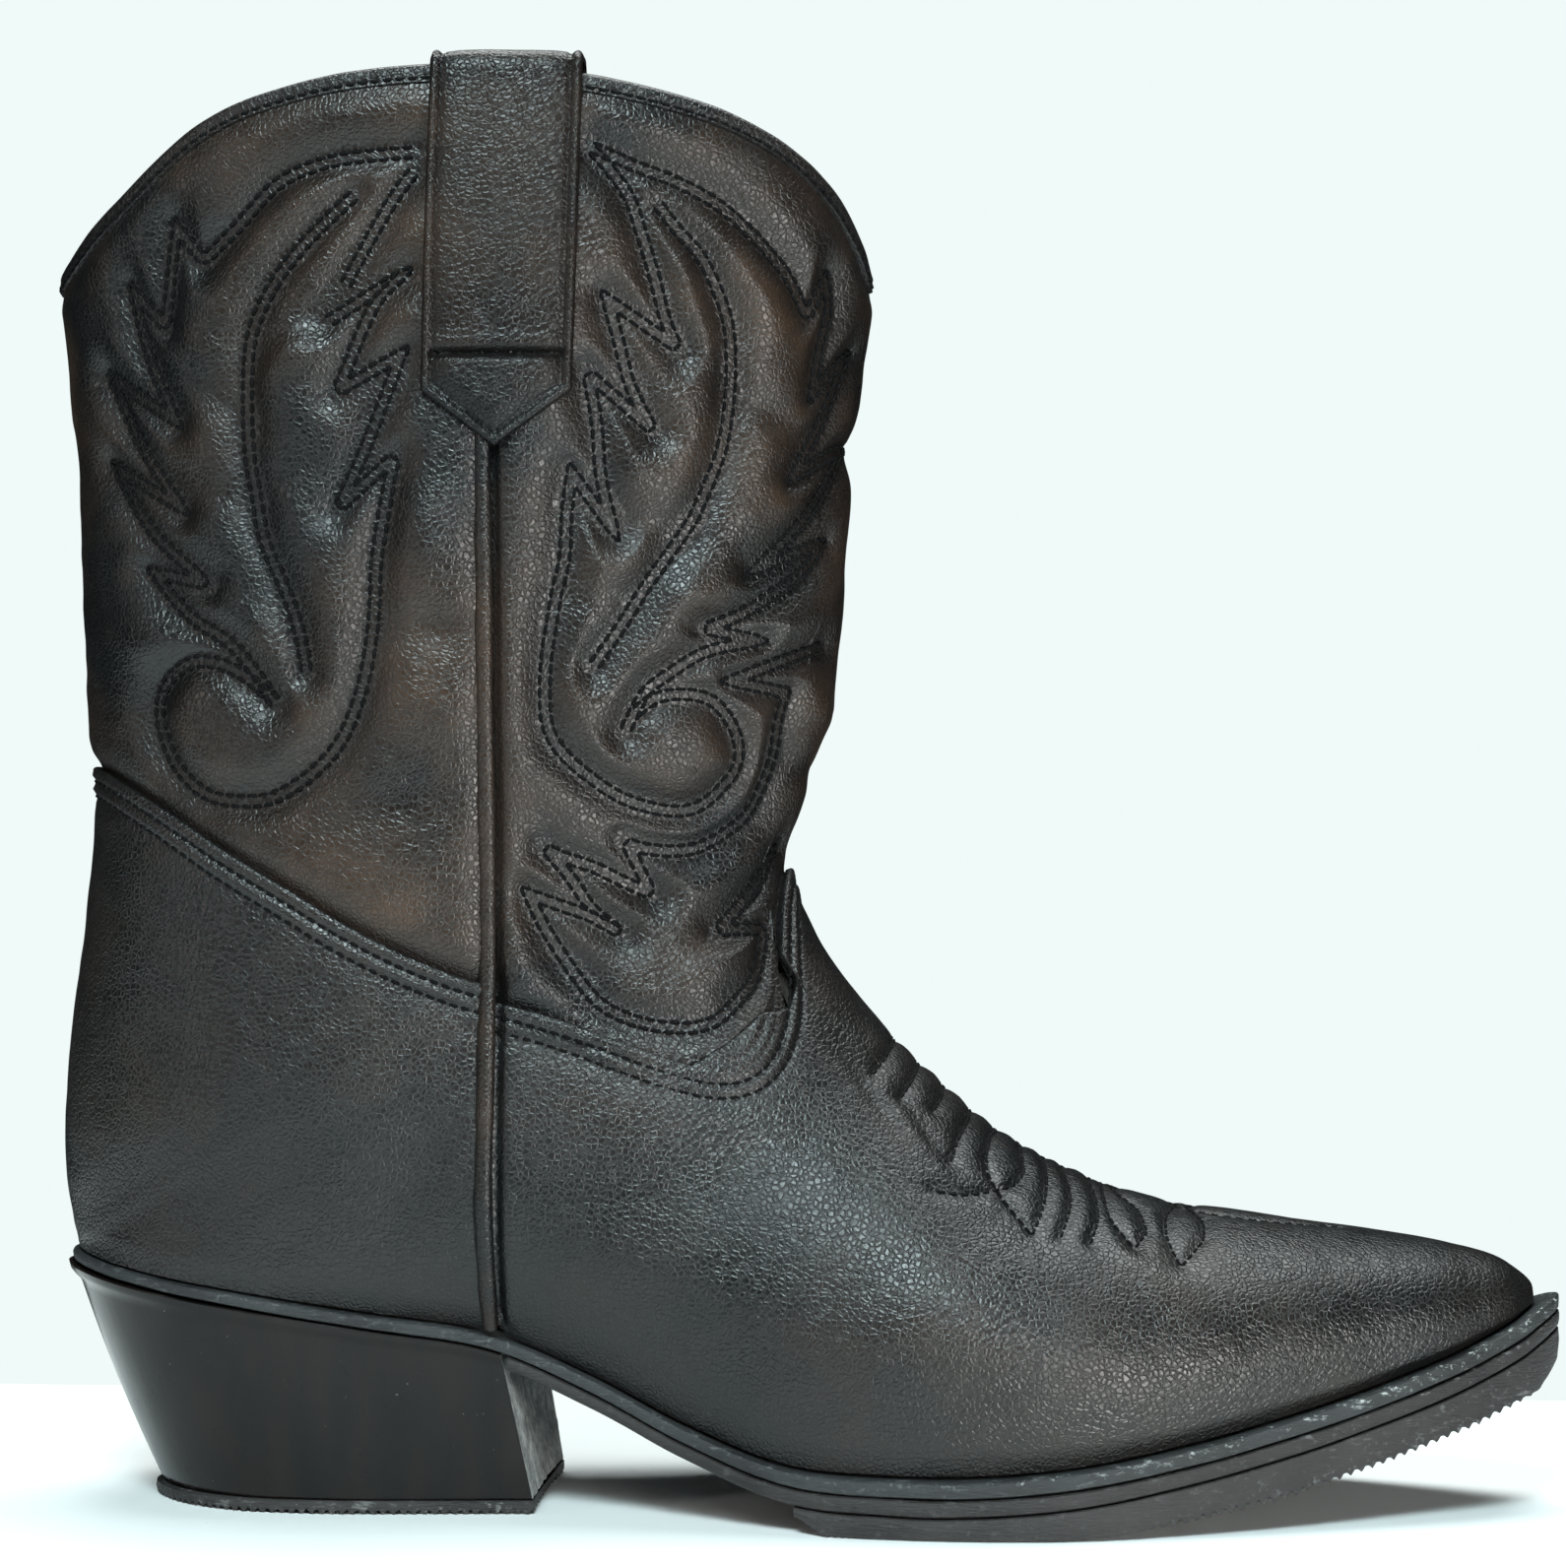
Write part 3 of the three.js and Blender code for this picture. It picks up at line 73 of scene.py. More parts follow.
# Base x, z | base half-width outer, inner | ridge x, z | widest half-width outer, inner |
# where along the section it is widest | how peaked the ridge is. Toe to heel.
FOOT_SECTIONS = np.array([
    (136.2, 38.0, 0.0, 0.0, 135.9, 40.4, 0.0, 0.0, 0.30, 0.00),
    (133.6, 36.4, 6.4, 6.4, 131.5, 44.6, 6.7, 6.7, 0.30, 0.00),
    (124.0, 31.9, 13.6, 13.6, 121.0, 48.0, 14.3, 14.3, 0.30, 0.00),
    (106.0, 25.4, 21.8, 22.2, 103.0, 50.9, 22.9, 23.3, 0.30, 0.02),
    (88.0, 20.3, 29.3, 30.0, 84.0, 53.6, 30.8, 31.4, 0.30, 0.05),
    (70.0, 16.1, 35.6, 36.2, 66.0, 56.2, 37.4, 38.0, 0.30, 0.08),
    (52.0, 12.9, 40.2, 40.2, 50.5, 61.6, 42.2, 42.2, 0.30, 0.12),
    (35.0, 11.4, 41.8, 40.6, 37.0, 68.8, 43.8, 43.0, 0.30, 0.16),
    (17.0, 11.2, 41.0, 37.6, 25.5, 78.3, 43.2, 41.0, 0.30, 0.18),
    (-1.0, 12.4, 37.4, 31.6, 16.0, 87.4, 40.8, 38.4, 0.30, 0.18),
    (-20.0, 18.8, 31.6, 25.2, 9.0, 95.4, 37.8, 36.2, 0.31, 0.16),
    (-38.0, 27.2, 27.4, 23.6, 3.8, 102.6, 35.8, 34.8, 0.33, 0.12),
    (-56.0, 34.4, 26.6, 25.6, 0.5, 108.8, 34.6, 34.2, 0.36, 0.08),
    (-78.0, 37.9, 28.4, 28.2, -1.8, 114.4, 34.0, 34.0, 0.38, 0.05),
    (-100.0, 41.3, 29.4, 29.4, -3.0, 119.0, 33.6, 33.6, 0.40, 0.02),
    (-118.0, 44.1, 26.2, 26.2, -3.0, 123.0, 33.4, 33.4, 0.41, 0.00),
    (-131.0, 46.1, 17.0, 17.0, -2.4, 127.0, 33.4, 33.4, 0.42, 0.00),
    (-138.6, 47.4, 0.0, 0.0, -1.2, 131.5, 33.4, 33.4, 0.43, 0.00),
])
# Back x, z | front x, z | half-width | where along the section it is widest.
LEG_SECTIONS = np.array([
    (-140.4, 60.0, 0.2, 136.0, 33.4, 0.44),
    (-140.4, 76.0, 1.9, 141.5, 33.4, 0.46),
    (-139.0, 92.0, 3.6, 147.5, 33.8, 0.47),
    (-136.9, 108.0, 5.2, 155.0, 34.3, 0.48),
    (-135.2, 124.0, 6.2, 162.5, 35.0, 0.49),
    (-135.0, 138.0, 6.6, 169.5, 35.8, 0.50),
    (-135.8, 152.0, 7.0, 177.0, 36.5, 0.50),
    (-136.5, 172.0, 7.8, 187.5, 37.3, 0.50),
    (-137.3, 194.0, 9.0, 201.0, 38.2, 0.50),
    (-139.0, 212.0, 10.7, 214.5, 39.0, 0.50),
    (-141.3, 230.0, 12.5, 231.0, 39.6, 0.50),
    (-142.8, 250.0, 13.4, 251.0, 40.0, 0.50),
    (-143.2, 272.0, 13.6, 273.0, 40.2, 0.50),
])
TABLE_ROWS = 4000
SEAM_X = -55.0
SEAM_HALF_GAP = 0.4
FRONT_SEAM_X = SEAM_X + SEAM_HALF_GAP
BACK_SEAM_X = SEAM_X - SEAM_HALF_GAP
# Edges of the leather pieces in the side view.
TOPLINE_BACK = [
    (-141.4, 230.6), (-137.5, 233), (-131, 238.5), (-124.9, 243), (-117.7, 248.8), (-110.4, 254),
    (-103.2, 257.6), (-95.9, 260), (-81.5, 263), (-67.1, 264.2), (SEAM_X, 264.2),
]
TOPLINE_FRONT = [
    (SEAM_X, 264.2), (-43, 263.4), (-31.2, 261.8), (-17, 258.5), (-9.8, 256), (-2.7, 252.4), (4.4, 246.8),
    (8.5, 241.5), (11.2, 235.6), (12.5, 230.6),
]
COUNTER_EDGE = [
    (SEAM_X, 97.4), (-60.6, 99), (-71, 103.2), (-82, 108.8), (-91.5, 114.4), (-103.5, 121.2),
    (-116, 128.8), (-124.6, 133.4), (-130.6, 136.2), (-135, 137.4),
]
VAMP_EDGE = [
    (SEAM_X, 94.6), (-45.5, 92), (-37, 89.2), (-28.4, 86), (-20, 83.2), (-13, 81.8), (-8.6, 82.6),
    (-5.6, 85.6), (-3.7, 91), (-3.2, 98), (-3.4, 106), (-3.4, 112), (-2.9, 118),
]


def spline(knots, value, where, first=None, last=None):
    """Smooth curve through value at the knots; first and last are its end slopes."""
    step = np.diff(knots)
    rise = np.diff(value) / step
    slope = np.empty_like(value)
    slope[1:-1] = (rise[:-1] * step[1:] + rise[1:] * step[:-1]) / (step[1:] + step[:-1])
    slope[0] = rise[0] if first is None else first
    slope[-1] = rise[-1] if last is None else last
    i = np.clip(np.searchsorted(knots, where, side="right") - 1, 0, len(knots) - 2)
    u = (where - knots[i]) / step[i]
    v = 1 - u
    return ((1 + 2 * u) * v * v * value[i] + u * v * v * step[i] * slope[i]
            + u * u * (3 - 2 * u) * value[i + 1] - u * u * v * step[i] * slope[i + 1])


def make_surface_table():
    """Every section quantity at fine steps of the station t, and the stations of heel seat and top."""
    foot, leg = FOOT_SECTIONS, LEG_SECTIONS
    corner = len(foot) - 1
    none = np.zeros(len(leg))
    base_x, base_z = np.r_[foot[:, 0], leg[:, 0]], np.r_[foot[:, 1], leg[:, 1]]
    front_x, front_z = np.r_[foot[:, 4], leg[:, 2]], np.r_[foot[:, 5], leg[:, 3]]
    base_half = {OUTER: np.r_[foot[:, 2], none], INNER: np.r_[foot[:, 3], none]}
    widest = {OUTER: np.r_[foot[:, 6], leg[:, 4]], INNER: np.r_[foot[:, 7], leg[:, 4]]}
    along_base = np.hypot(np.hypot(np.diff(base_x), np.diff(base_z)), np.diff(base_half[OUTER]))
    along_front = np.hypot(np.diff(front_x), np.diff(front_z))
    station = np.r_[0, np.cumsum((along_base + along_front) / 2)]
    heel = station[corner]
    rows = np.linspace(0, station[-1], TABLE_ROWS)

    def with_corner(value, toe_slope, heel_slope, leg_slope):
        low = spline(station[:corner + 1], value[:corner + 1], rows[rows <= heel], toe_slope, heel_slope)
        high = spline(station[corner:], value[corner:], rows[rows > heel], leg_slope)
        return np.r_[low, high]

    table = {
        "t": rows,
        "base x": with_corner(base_x, 0.0, 0.0, 0.0),
        "base z": with_corner(base_z, 0.0, None, None),
        "front x": spline(station, front_x, rows, 0.0),
        "front z": spline(station, front_z, rows),
        "widest along": spline(station, np.r_[foot[:, 8], leg[:, 5]], rows),
        "peak": spline(station, np.r_[foot[:, 9], none], rows),
    }
    for side in (OUTER, INNER):
        half = base_half[side]
        heel_slope = -half[corner - 1] / (heel - station[corner - 1])
        table["base half", side] = with_corner(half, half[1] / station[1], heel_slope, 0.0)
        table["widest", side] = spline(station, widest[side], rows, widest[side][1] / station[1])
    return table, heel, station[-1]


TABLE, HEEL_SEAT, TOP = make_surface_table()


def at(name, t):
    """A quantity of the section at station t."""
    return np.interp(t, TABLE["t"], TABLE[name])


def by_side(name, t, side):
    """A quantity that differs between the outer and the inner side."""
    return np.where(side < 0, at((name, OUTER), t), at((name, INNER), t))


BISECTIONS = 26


def locate(x, z):
    """Station and place along its section of the side-view point (x, z)."""
    x, z = np.broadcast_arrays(np.asarray(x, float), np.asarray(z, float))
    low, high = np.zeros(x.shape), np.full(x.shape, TOP)
    for _ in range(BISECTIONS):
        t = (low + high) / 2
        bx, bz = at("base x", t), at("base z", t)
        beyond = (at("front x", t) - bx) * (z - bz) - (at("front z", t) - bz) * (x - bx) > 0
        low, high = np.where(beyond, t, low), np.where(beyond, high, t)
    t = (low + high) / 2
    bx, bz = at("base x", t), at("base z", t)
    dx, dz = at("front x", t) - bx, at("front z", t) - bz
    return t, ((x - bx) * dx + (z - bz) * dz) / (dx * dx + dz * dz)


def section(t, side):
    """Widest half-width, how far the base tucks in, where it is widest, and the ridge's peak."""
    widest = np.maximum(by_side("widest", t, side), 1e-6)
    share = np.clip(by_side("base half", t, side) / widest, 0, 1)
    return widest, np.sqrt(np.maximum(1 - share * share, 1e-9)), at("widest along", t), at("peak", t)


def squared_half(x, z, side):
    """Square of the reference surface's half-width over the side-view point (x, z)."""
    t, along = locate(x, z)
    widest, tuck_in, middle, peak = section(t, side)
    low = 1 - (tuck_in * (1 - along / middle)) ** 2
    u = (along - middle) / (1 - middle)
    return widest ** 2 * np.where(along < middle, low, (1 - u * u) * (1 - peak * u * u) ** 2)


def fan_point(t, girth, side):
    """Side-view point at a station; girth runs 0 at the base or back to 1 at the front."""
    _, tuck_in, middle, _ = section(t, side)
    low = np.arcsin(tuck_in)
    rise = np.sin(girth * (low + math.pi / 2) - low)
    along = np.where(rise < 0, middle * (1 + rise / tuck_in), middle + (1 - middle) * rise)
    bx, bz = at("base x", t), at("base z", t)
    return bx + (at("front x", t) - bx) * along, bz + (at("front z", t) - bz) * along


def along_to_girth(along, t, side):
    """Girth of a place along the section, the reverse of fan_point."""
    _, tuck_in, middle, _ = section(t, side)
    low = np.arcsin(tuck_in)
    rise = np.where(along < middle, (along / middle - 1) * tuck_in, (along - middle) / (1 - middle))
    return (np.arcsin(np.clip(rise, -1, 1)) + low) / (low + math.pi / 2)


def gradient(x, y, z, side):
    """Outward gradient of y squared less the squared half-width."""
    h = 0.1
    gx = (squared_half(x + h, z, side) - squared_half(x - h, z, side)) / (2 * h)
    gz = (squared_half(x, z + h, side) - squared_half(x, z - h, side)) / (2 * h)
    return np.stack([-gx, 2 * y, -gz], -1)


def unit(v):
    return v / np.maximum(np.linalg.norm(v, axis=-1, keepdims=True), 1e-9)


def skin(x, z, side):
    """Point of the reference surface over (x, z), and its outward normal."""
    x, z, side = np.broadcast_arrays(np.asarray(x, float), np.asarray(z, float), side)
    half = np.sqrt(np.maximum(squared_half(x, z, side), 0))
    half = np.where(half < 0.02, 0, half)
    point = np.stack([x, side * half, z], -1)
    return point, unit(gradient(x, side * half, z, side))


def onto_surface(points, side):
    """Moves points to the reference surface along its gradient."""
    p = np.array(points, float)
    for _ in range(4):
        g = gradient(p[:, 0], p[:, 1], p[:, 2], side)
        f = p[:, 1] ** 2 - squared_half(p[:, 0], p[:, 2], side)
        p = p - g * (f / np.maximum((g * g).sum(1), 1e-9))[:, None]
    return p, unit(gradient(p[:, 0], p[:, 1], p[:, 2], side))


# ------------------------------------------------------------------ small tools

def lerp(a, b, k):
    return a + (b - a) * k


def smoothstep(x, low, high):
    k = np.clip((np.asarray(x, float) - low) / (high - low), 0, 1)
    return k * k * (3 - 2 * k)


def bump_at(x, centre, width):
    return np.exp(-((x - centre) / width) ** 2)


def even(points, step=None, count=None):
    """A polyline resampled at equal distances."""
    points = np.asarray(points, float)
    run = np.r_[0, np.cumsum(np.linalg.norm(np.diff(points, axis=0), axis=1))]
    if count is None:
        count = max(int(round(run[-1] / step)), 1)
    where = np.linspace(0, run[-1], count + 1)
    return np.stack([np.interp(where, run, points[:, k]) for k in range(points.shape[1])], 1)


def smooth_line(points, step=0.5):
    """A smooth curve through a few points, in even steps."""
    points = np.asarray(points, float)
    if len(points) < 3:
        return even(points, step)
    at_point = np.r_[0, np.cumsum(np.linalg.norm(np.diff(points, axis=0), axis=1) ** 0.5)]
    fine = np.linspace(0, at_point[-1], 24 * len(points))
    curve = np.stack([spline(at_point, points[:, k], fine) for k in range(points.shape[1])], 1)
    return even(curve, step)


def turn_at(points, i):
    a, b = unit(points[i] - points[i - 1]), unit(points[i + 1] - points[i])
    return math.degrees(math.acos(float(np.clip(a @ b, -1, 1))))


def split_at_corners(points, sharp=48):
    points = np.asarray(points, float)
    parts, start = [], 0
    for i in range(1, len(points) - 1):
        if turn_at(points, i) > sharp:
            parts.append(points[start:i + 1])
            start = i
    return [*parts, points[start:]]


random_lattice = np.random.default_rng(7).random((24, 24, 24))


def cloud(points, size, shift=0.0):
    """Smooth noise from -1 to 1 with patches of about size mm."""
    p = np.asarray(points, float) / size + 11.3 + shift
    base = np.floor(p).astype(int)
    f = p - base
    f = f * f * (3 - 2 * f)
    total = 0.0
    for corner in range(8):
        step = np.array([corner & 1, corner >> 1 & 1, corner >> 2 & 1])
        weight = np.prod(np.where(step, f, 1 - f), axis=-1)
        i = (base + step) % 24
        total = total + weight * random_lattice[i[..., 0], i[..., 1], i[..., 2]]
    return 2 * total - 1


class Nearest:
    """Distances to a set of points in 3D."""

    def __init__(self, points):
        self.tree = KDTree(len(points))
        for i, p in enumerate(points):
            self.tree.insert(p, i)
        self.tree.balance()

    def distance(self, points):
        flat = np.asarray(points, float).reshape(-1, 3)
        found = np.fromiter((self.tree.find(p)[2] for p in flat), float, len(flat))
        return found.reshape(np.shape(points)[:-1])


# ------------------------------------------------------------------ meshes

SOFT_ANGLE, HARD_ANGLE, THREAD_ANGLE, STRAP_ANGLE = 60, 35, 80, 50  # degrees left smooth


def add_mesh(name, points, faces, material, replaces, smooth_angle, attributes=None):
    """A piece riding on the boot's body, in millimetres here and metres in the frame."""
    mesh = bpy.data.meshes.new(name)
    mesh.from_pydata(place(points).tolist(), [], faces)
    for key, values in (attributes or {}).items():
        mesh.attributes.new(key, "FLOAT", "POINT").data.foreach_set("value", np.asarray(values, np.float32))
    mesh.validate()
    for one in material if isinstance(material, (list, tuple)) else [material]:
        mesh.materials.append(one)
    mesh.polygons.foreach_set("use_smooth", [True] * len(mesh.polygons))
    mesh.set_sharp_from_angle(angle=math.radians(smooth_angle))
    made = bpy.data.objects.new(name, mesh)
    bpy.context.scene.collection.objects.link(made)
    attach(made, "root")
    if replaces:
        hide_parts(*replaces)
    return made


def facing_out(points, faces):
    """The faces, all turned round if they enclose a negative volume."""
    quads = np.array([[f[0], f[1], f[2], f[3] if len(f) > 3 else f[2]] for f in faces])
    p = points - points.mean(0)
    a, b, c, d = (p[quads[:, k]] for k in range(4))
    total = np.einsum("ij,ij->", a, np.cross(b, c)) + np.einsum("ij,ij->", a, np.cross(c, d))
    return faces if total > 0 else [f[::-1] for f in faces]


COARSE = 4  # the hidden face of a sheet has one cell for this many of the shown face
THINNED = slice(None, None, COARSE)


def sheet_faces(rows, columns, fold):
    """Faces of a closed sheet: a fine outer grid whose last fold rows roll over its upper edge,
    and a coarse inner grid."""
    r_count, c_count = rows + fold, columns
    outer = np.arange(r_count * c_count).reshape(r_count, c_count)
    inner_shape = ((rows - 1) // COARSE + 1, (columns - 1) // COARSE + 1)
    inner = np.arange(inner_shape[0] * inner_shape[1]).reshape(inner_shape) + outer.size
    quads = np.stack([outer[:-1, :-1], outer[:-1, 1:], outer[1:, 1:], outer[1:, :-1]], -1).reshape(-1, 4)
    back = np.stack([inner[:-1, :-1], inner[1:, :-1], inner[1:, 1:], inner[:-1, 1:]], -1).reshape(-1, 4)
    faces = quads.tolist() + back.tolist()
    for k in range(inner_shape[1] - 1):
        low, high = k * COARSE, (k + 1) * COARSE + 1
        faces.append([inner[0, k], inner[0, k + 1], *outer[0, low:high][::-1]])
        faces.append([inner[-1, k + 1], inner[-1, k], *outer[-1, low:high]])
    for k in range(inner_shape[0] - 1):
        low = k * COARSE
        high = (k + 1) * COARSE + 1 if k < inner_shape[0] - 2 else r_count
        faces.append([inner[k + 1, 0], inner[k, 0], *outer[low:high, 0]])
        faces.append([inner[k, -1], inner[k + 1, -1], *outer[low:high, -1][::-1]])
    return [[int(i) for i in f] for f in faces]


INNER_FACE_HIGHEST = 0.2  # the inner face follows the outer one down, but not up


def leather_sheet(name, point, normal, height, thick, material, replaces, fold=0, attributes=None):
    """A closed sheet over a grid of surface points; height is its outer face's height there.
    With fold, its last row rolls over in a rounded edge."""
    rows, columns = height.shape
    outer = point + normal * height[..., None]
    radius = thick / 2
    rolled = []
    if fold:
        onward = unit(outer[-1] - outer[-3])
        for k in range(1, fold + 1):
            turn = math.pi * k / (fold + 0.5)
            rolled.append(outer[-1] + onward * (radius * math.sin(turn))
                          - normal[-1] * (radius * (1 - math.cos(turn))))
    inner_height = np.minimum(height[THINNED, THINNED], INNER_FACE_HIGHEST) - thick
    inner = point[THINNED, THINNED] + normal[THINNED, THINNED] * inner_height[..., None]
    all_points = np.concatenate([outer.reshape(-1, 3), *rolled, inner.reshape(-1, 3)])
    faces = facing_out(all_points, sheet_faces(rows, columns, fold))
    held = {}
    for key, values in (attributes or {}).items():
        held[key] = np.r_[values.ravel(), np.zeros(len(all_points) - values.size)]
    return add_mesh(name, all_points, faces, material, replaces, SOFT_ANGLE, held)


def band_faces(index):
    """Faces between neighbouring rows of an index grid whose rows are closed rings."""
    following = np.roll(index, -1, axis=1)
    return np.stack([index[:-1], following[:-1], following[1:], index[1:]], -1).reshape(-1, 4).tolist()


def tube_through(rings, closed):
    """Points and faces of a body through rings of equal size."""
    rings = np.asarray(rings, float)
    count, size = rings.shape[:2]
    index = np.arange(count * size).reshape(count, size)
    if closed:
        faces = band_faces(np.r_[index, index[:1]])
    else:
        faces = band_faces(index) + [index[0][::-1].tolist(), index[-1].tolist()]
    points = rings.reshape(-1, 3)
    return points, facing_out(points, faces)


# ------------------------------------------------------------------ materials

class Shader:
    """A small helper for building one material's nodes."""

    def __init__(self, name):
        self.material = bpy.data.materials.new(name)
        self.material.use_nodes = True
        self.tree = self.material.node_tree
        self.tree.nodes.clear()
        self.surface = self.tree.nodes.new("ShaderNodeBsdfPrincipled")
        output = self.tree.nodes.new("ShaderNodeOutputMaterial")
        self.tree.links.new(self.surface.outputs[0], output.inputs["Surface"])
        self.where = self.tree.nodes.new("ShaderNodeTexCoord").outputs["Object"]

    def node(self, kind, values=None, **settings):
        made = self.tree.nodes.new("ShaderNode" + kind)
        for key, value in settings.items():
            setattr(made, key, value)
        for key, value in (values or {}).items():
            self.put(made.inputs[key], value)
        return made

    def put(self, socket, value):
        if isinstance(value, bpy.types.NodeSocket):
            self.tree.links.new(value, socket)
        else:
            socket.default_value = value

    def noise(self, scale, detail=3.0, roughness=0.5, where=None, distortion=0.0):
        values = {"Vector": where or self.where, "Scale": scale, "Detail": detail, "Roughness": roughness,
                  "Distortion": distortion}
        return self.node("TexNoise", values).outputs["Fac"]

    def cells(self, scale, feature="F1", where=None):
        made = self.node("TexVoronoi", {"Vector": where or self.where, "Scale": scale}, feature=feature)
        return made.outputs["Distance"]

    def stretched(self, x, y, z):
        return self.node("Mapping", {"Vector": self.where, "Scale": (x, y, z)}).outputs[0]

    def ramp(self, value, low, high, to_low=0.0, to_high=1.0):
        values = {"Value": value, "From Min": low, "From Max": high, "To Min": to_low, "To Max": to_high}
        return self.node("MapRange", values).outputs[0]

    def maths(self, operation, a, b=0.0):
        return self.node("Math", {0: a, 1: b}, operation=operation).outputs[0]

    def mix(self, share, a, b):
        made = self.node("Mix", data_type="RGBA")
        for i, value in ((0, share), (6, a), (7, b)):
            self.put(made.inputs[i], value)
        return made.outputs[2]

    def attribute(self, name):
        return self.node("Attribute", attribute_name=name).outputs["Fac"]

    def raised(self, height, depth_mm, below=None):
        values = {"Height": height, "Distance": depth_mm * MM, "Strength": 1.0}
        if below is not None:
            values["Normal"] = below
        return self.node("Bump", values).outputs[0]

    def finish(self, **values):
        """Fills the surface's sockets, named with underscores for spaces."""
        for key, value in values.items():
            self.put(self.surface.inputs[key.replace("_", " ")], value)
        return self.material


def colour(r, g, b):
    return (r, g, b, 1.0)


GRAIN_MM, GRAIN_DEPTH = 0.85, 0.065
# painted shade: colour for the darkened grain creases
CREASE_SHADE_COLOUR = colour(0.003, 0.003, 0.003)


def leather(name, dark, warm, rough=0.33, warm_share=0.8, gloss=0.4):
    """Pebbled leather, warmer in soft patches and where it stands up: partly rubbed wear, partly a painted
    warm sheen on the raised puffs. Its grain creases take painted shade.
    """
    s = Shader(name)
    sway = s.node("TexNoise", {"Vector": s.where, "Scale": 500.0, "Detail": 2.0}).outputs["Color"]
    sway = s.node("VectorMath", {0: sway, "Scale": 0.0009}, operation="SCALE").outputs[0]
    bent = s.node("VectorMath", {0: s.where, 1: sway}, operation="ADD").outputs[0]
    pebbles = s.cells(1000.0 / GRAIN_MM, "SMOOTH_F1", bent)
    creases = s.cells(1000.0 / (GRAIN_MM * 1.25), "DISTANCE_TO_EDGE", bent)
    fine = s.noise(2600.0, 3.0)
    patches = s.noise(24.0, 3.0, 0.55)
    streaks = s.noise(70.0, 4.0, 0.6)
    up = s.ramp(s.attribute("raised"), 0.0, 1.0)
    warm_at = s.maths("MULTIPLY", s.ramp(patches, 0.40, 0.66), s.ramp(streaks, 0.30, 0.68, 0.35, 1.0))
    # painted warm sheen: the warm tone grows on the raised puffs, partly real rubbed wear and partly
    # painted highlight
    warm_at = s.maths("MULTIPLY", warm_at, s.ramp(up, 0.0, 1.0, 0.25, warm_share))
    tone = s.mix(warm_at, colour(*dark), colour(*warm))
    # painted shade darkens the grain creases
    tone = s.mix(s.ramp(creases, 0.0, 0.12, 0.55, 0.0), tone, CREASE_SHADE_COLOUR)
    roughness = s.maths("ADD", s.ramp(streaks, 0.25, 0.75, rough - 0.07, rough + 0.09),
                        s.ramp(creases, 0.0, 0.2, 0.12, 0.0))
    bump = s.raised(s.ramp(creases, 0.0, 0.22), GRAIN_DEPTH)
    bump = s.raised(pebbles, GRAIN_DEPTH * -0.8, bump)
    bump = s.raised(fine, GRAIN_DEPTH * 0.35, bump)
    bump = s.raised(s.noise(190.0, 3.0), GRAIN_DEPTH * 1.2, bump)
    return s.finish(Base_Color=tone, Roughness=roughness, Normal=bump, Specular_IOR_Level=gloss)


def thread_material():
    """Waxed black thread with a fine twist."""
    s = Shader("thread")
    wave = {"Vector": s.where, "Scale": 620.0, "Distortion": 1.5, "Detail": 1.0}
    twist = s.node("TexWave", wave).outputs["Fac"]
    fuzz = s.noise(1800.0, 2.0)
    tone = s.mix(s.ramp(fuzz, 0.35, 0.8), colour(0.0010, 0.0010, 0.0012), colour(0.0045, 0.0045, 0.005))
    return s.finish(Base_Color=tone, Roughness=s.ramp(fuzz, 0.2, 0.8, 0.55, 0.8),
                    Normal=s.raised(twist, 0.06), Specular_IOR_Level=0.10)


def lining_material(name, tone_a, tone_b):
    """Soft napped lining in two close tones."""
    s = Shader(name)
    cloth = s.cells(1500.0)
    soft = s.noise(60.0, 4.0)
    tone = s.mix(s.ramp(soft, 0.3, 0.7), colour(*tone_a), colour(*tone_b))
    bump = s.raised(cloth, 0.12, s.raised(s.noise(900.0), 0.08))
    return s.finish(Base_Color=tone, Roughness=s.ramp(soft, 0.2, 0.8, 0.72, 0.9), Normal=bump)


def rubber_material(name, base, rub, scuff, scuffs, rough=0.55):
    """Rubber or board edge: fine lengthwise grooves, a rubbed haze and pale scuffs and specks."""
    s = Shader(name)
    along = s.stretched(1.0, 1.0, 7.0)
    grooves = s.noise(330.0, 4.0, 0.6, along)
    haze = s.noise(45.0, 5.0, 0.65)
    specks = s.ramp(s.noise(620.0, 4.0, 0.7), 0.60, 0.67)
    scratches = s.ramp(s.noise(210.0, 6.0, 0.75, s.stretched(1.0, 1.0, 3.0)), 0.57, 0.66)
    worn_edge = s.ramp(s.attribute("worn"), 0.0, 1.0)
    tone = s.mix(s.ramp(haze, 0.35, 0.75, 0.0, 0.8), colour(*base), colour(*rub))
    wear = s.ramp(worn_edge, 0.0, 1.0, 0.05, scuffs)
    marks = s.maths("MULTIPLY", s.maths("MAXIMUM", specks, scratches), wear)
    tone = s.mix(marks, tone, colour(*scuff))
    bump = s.raised(grooves, 0.35, s.raised(s.noise(1300.0, 3.0), 0.07))
    roughness = s.ramp(haze, 0.3, 0.8, rough - 0.1, rough + 0.15)
    return s.finish(Base_Color=tone, Roughness=roughness, Normal=bump, Specular_IOR_Level=0.32)


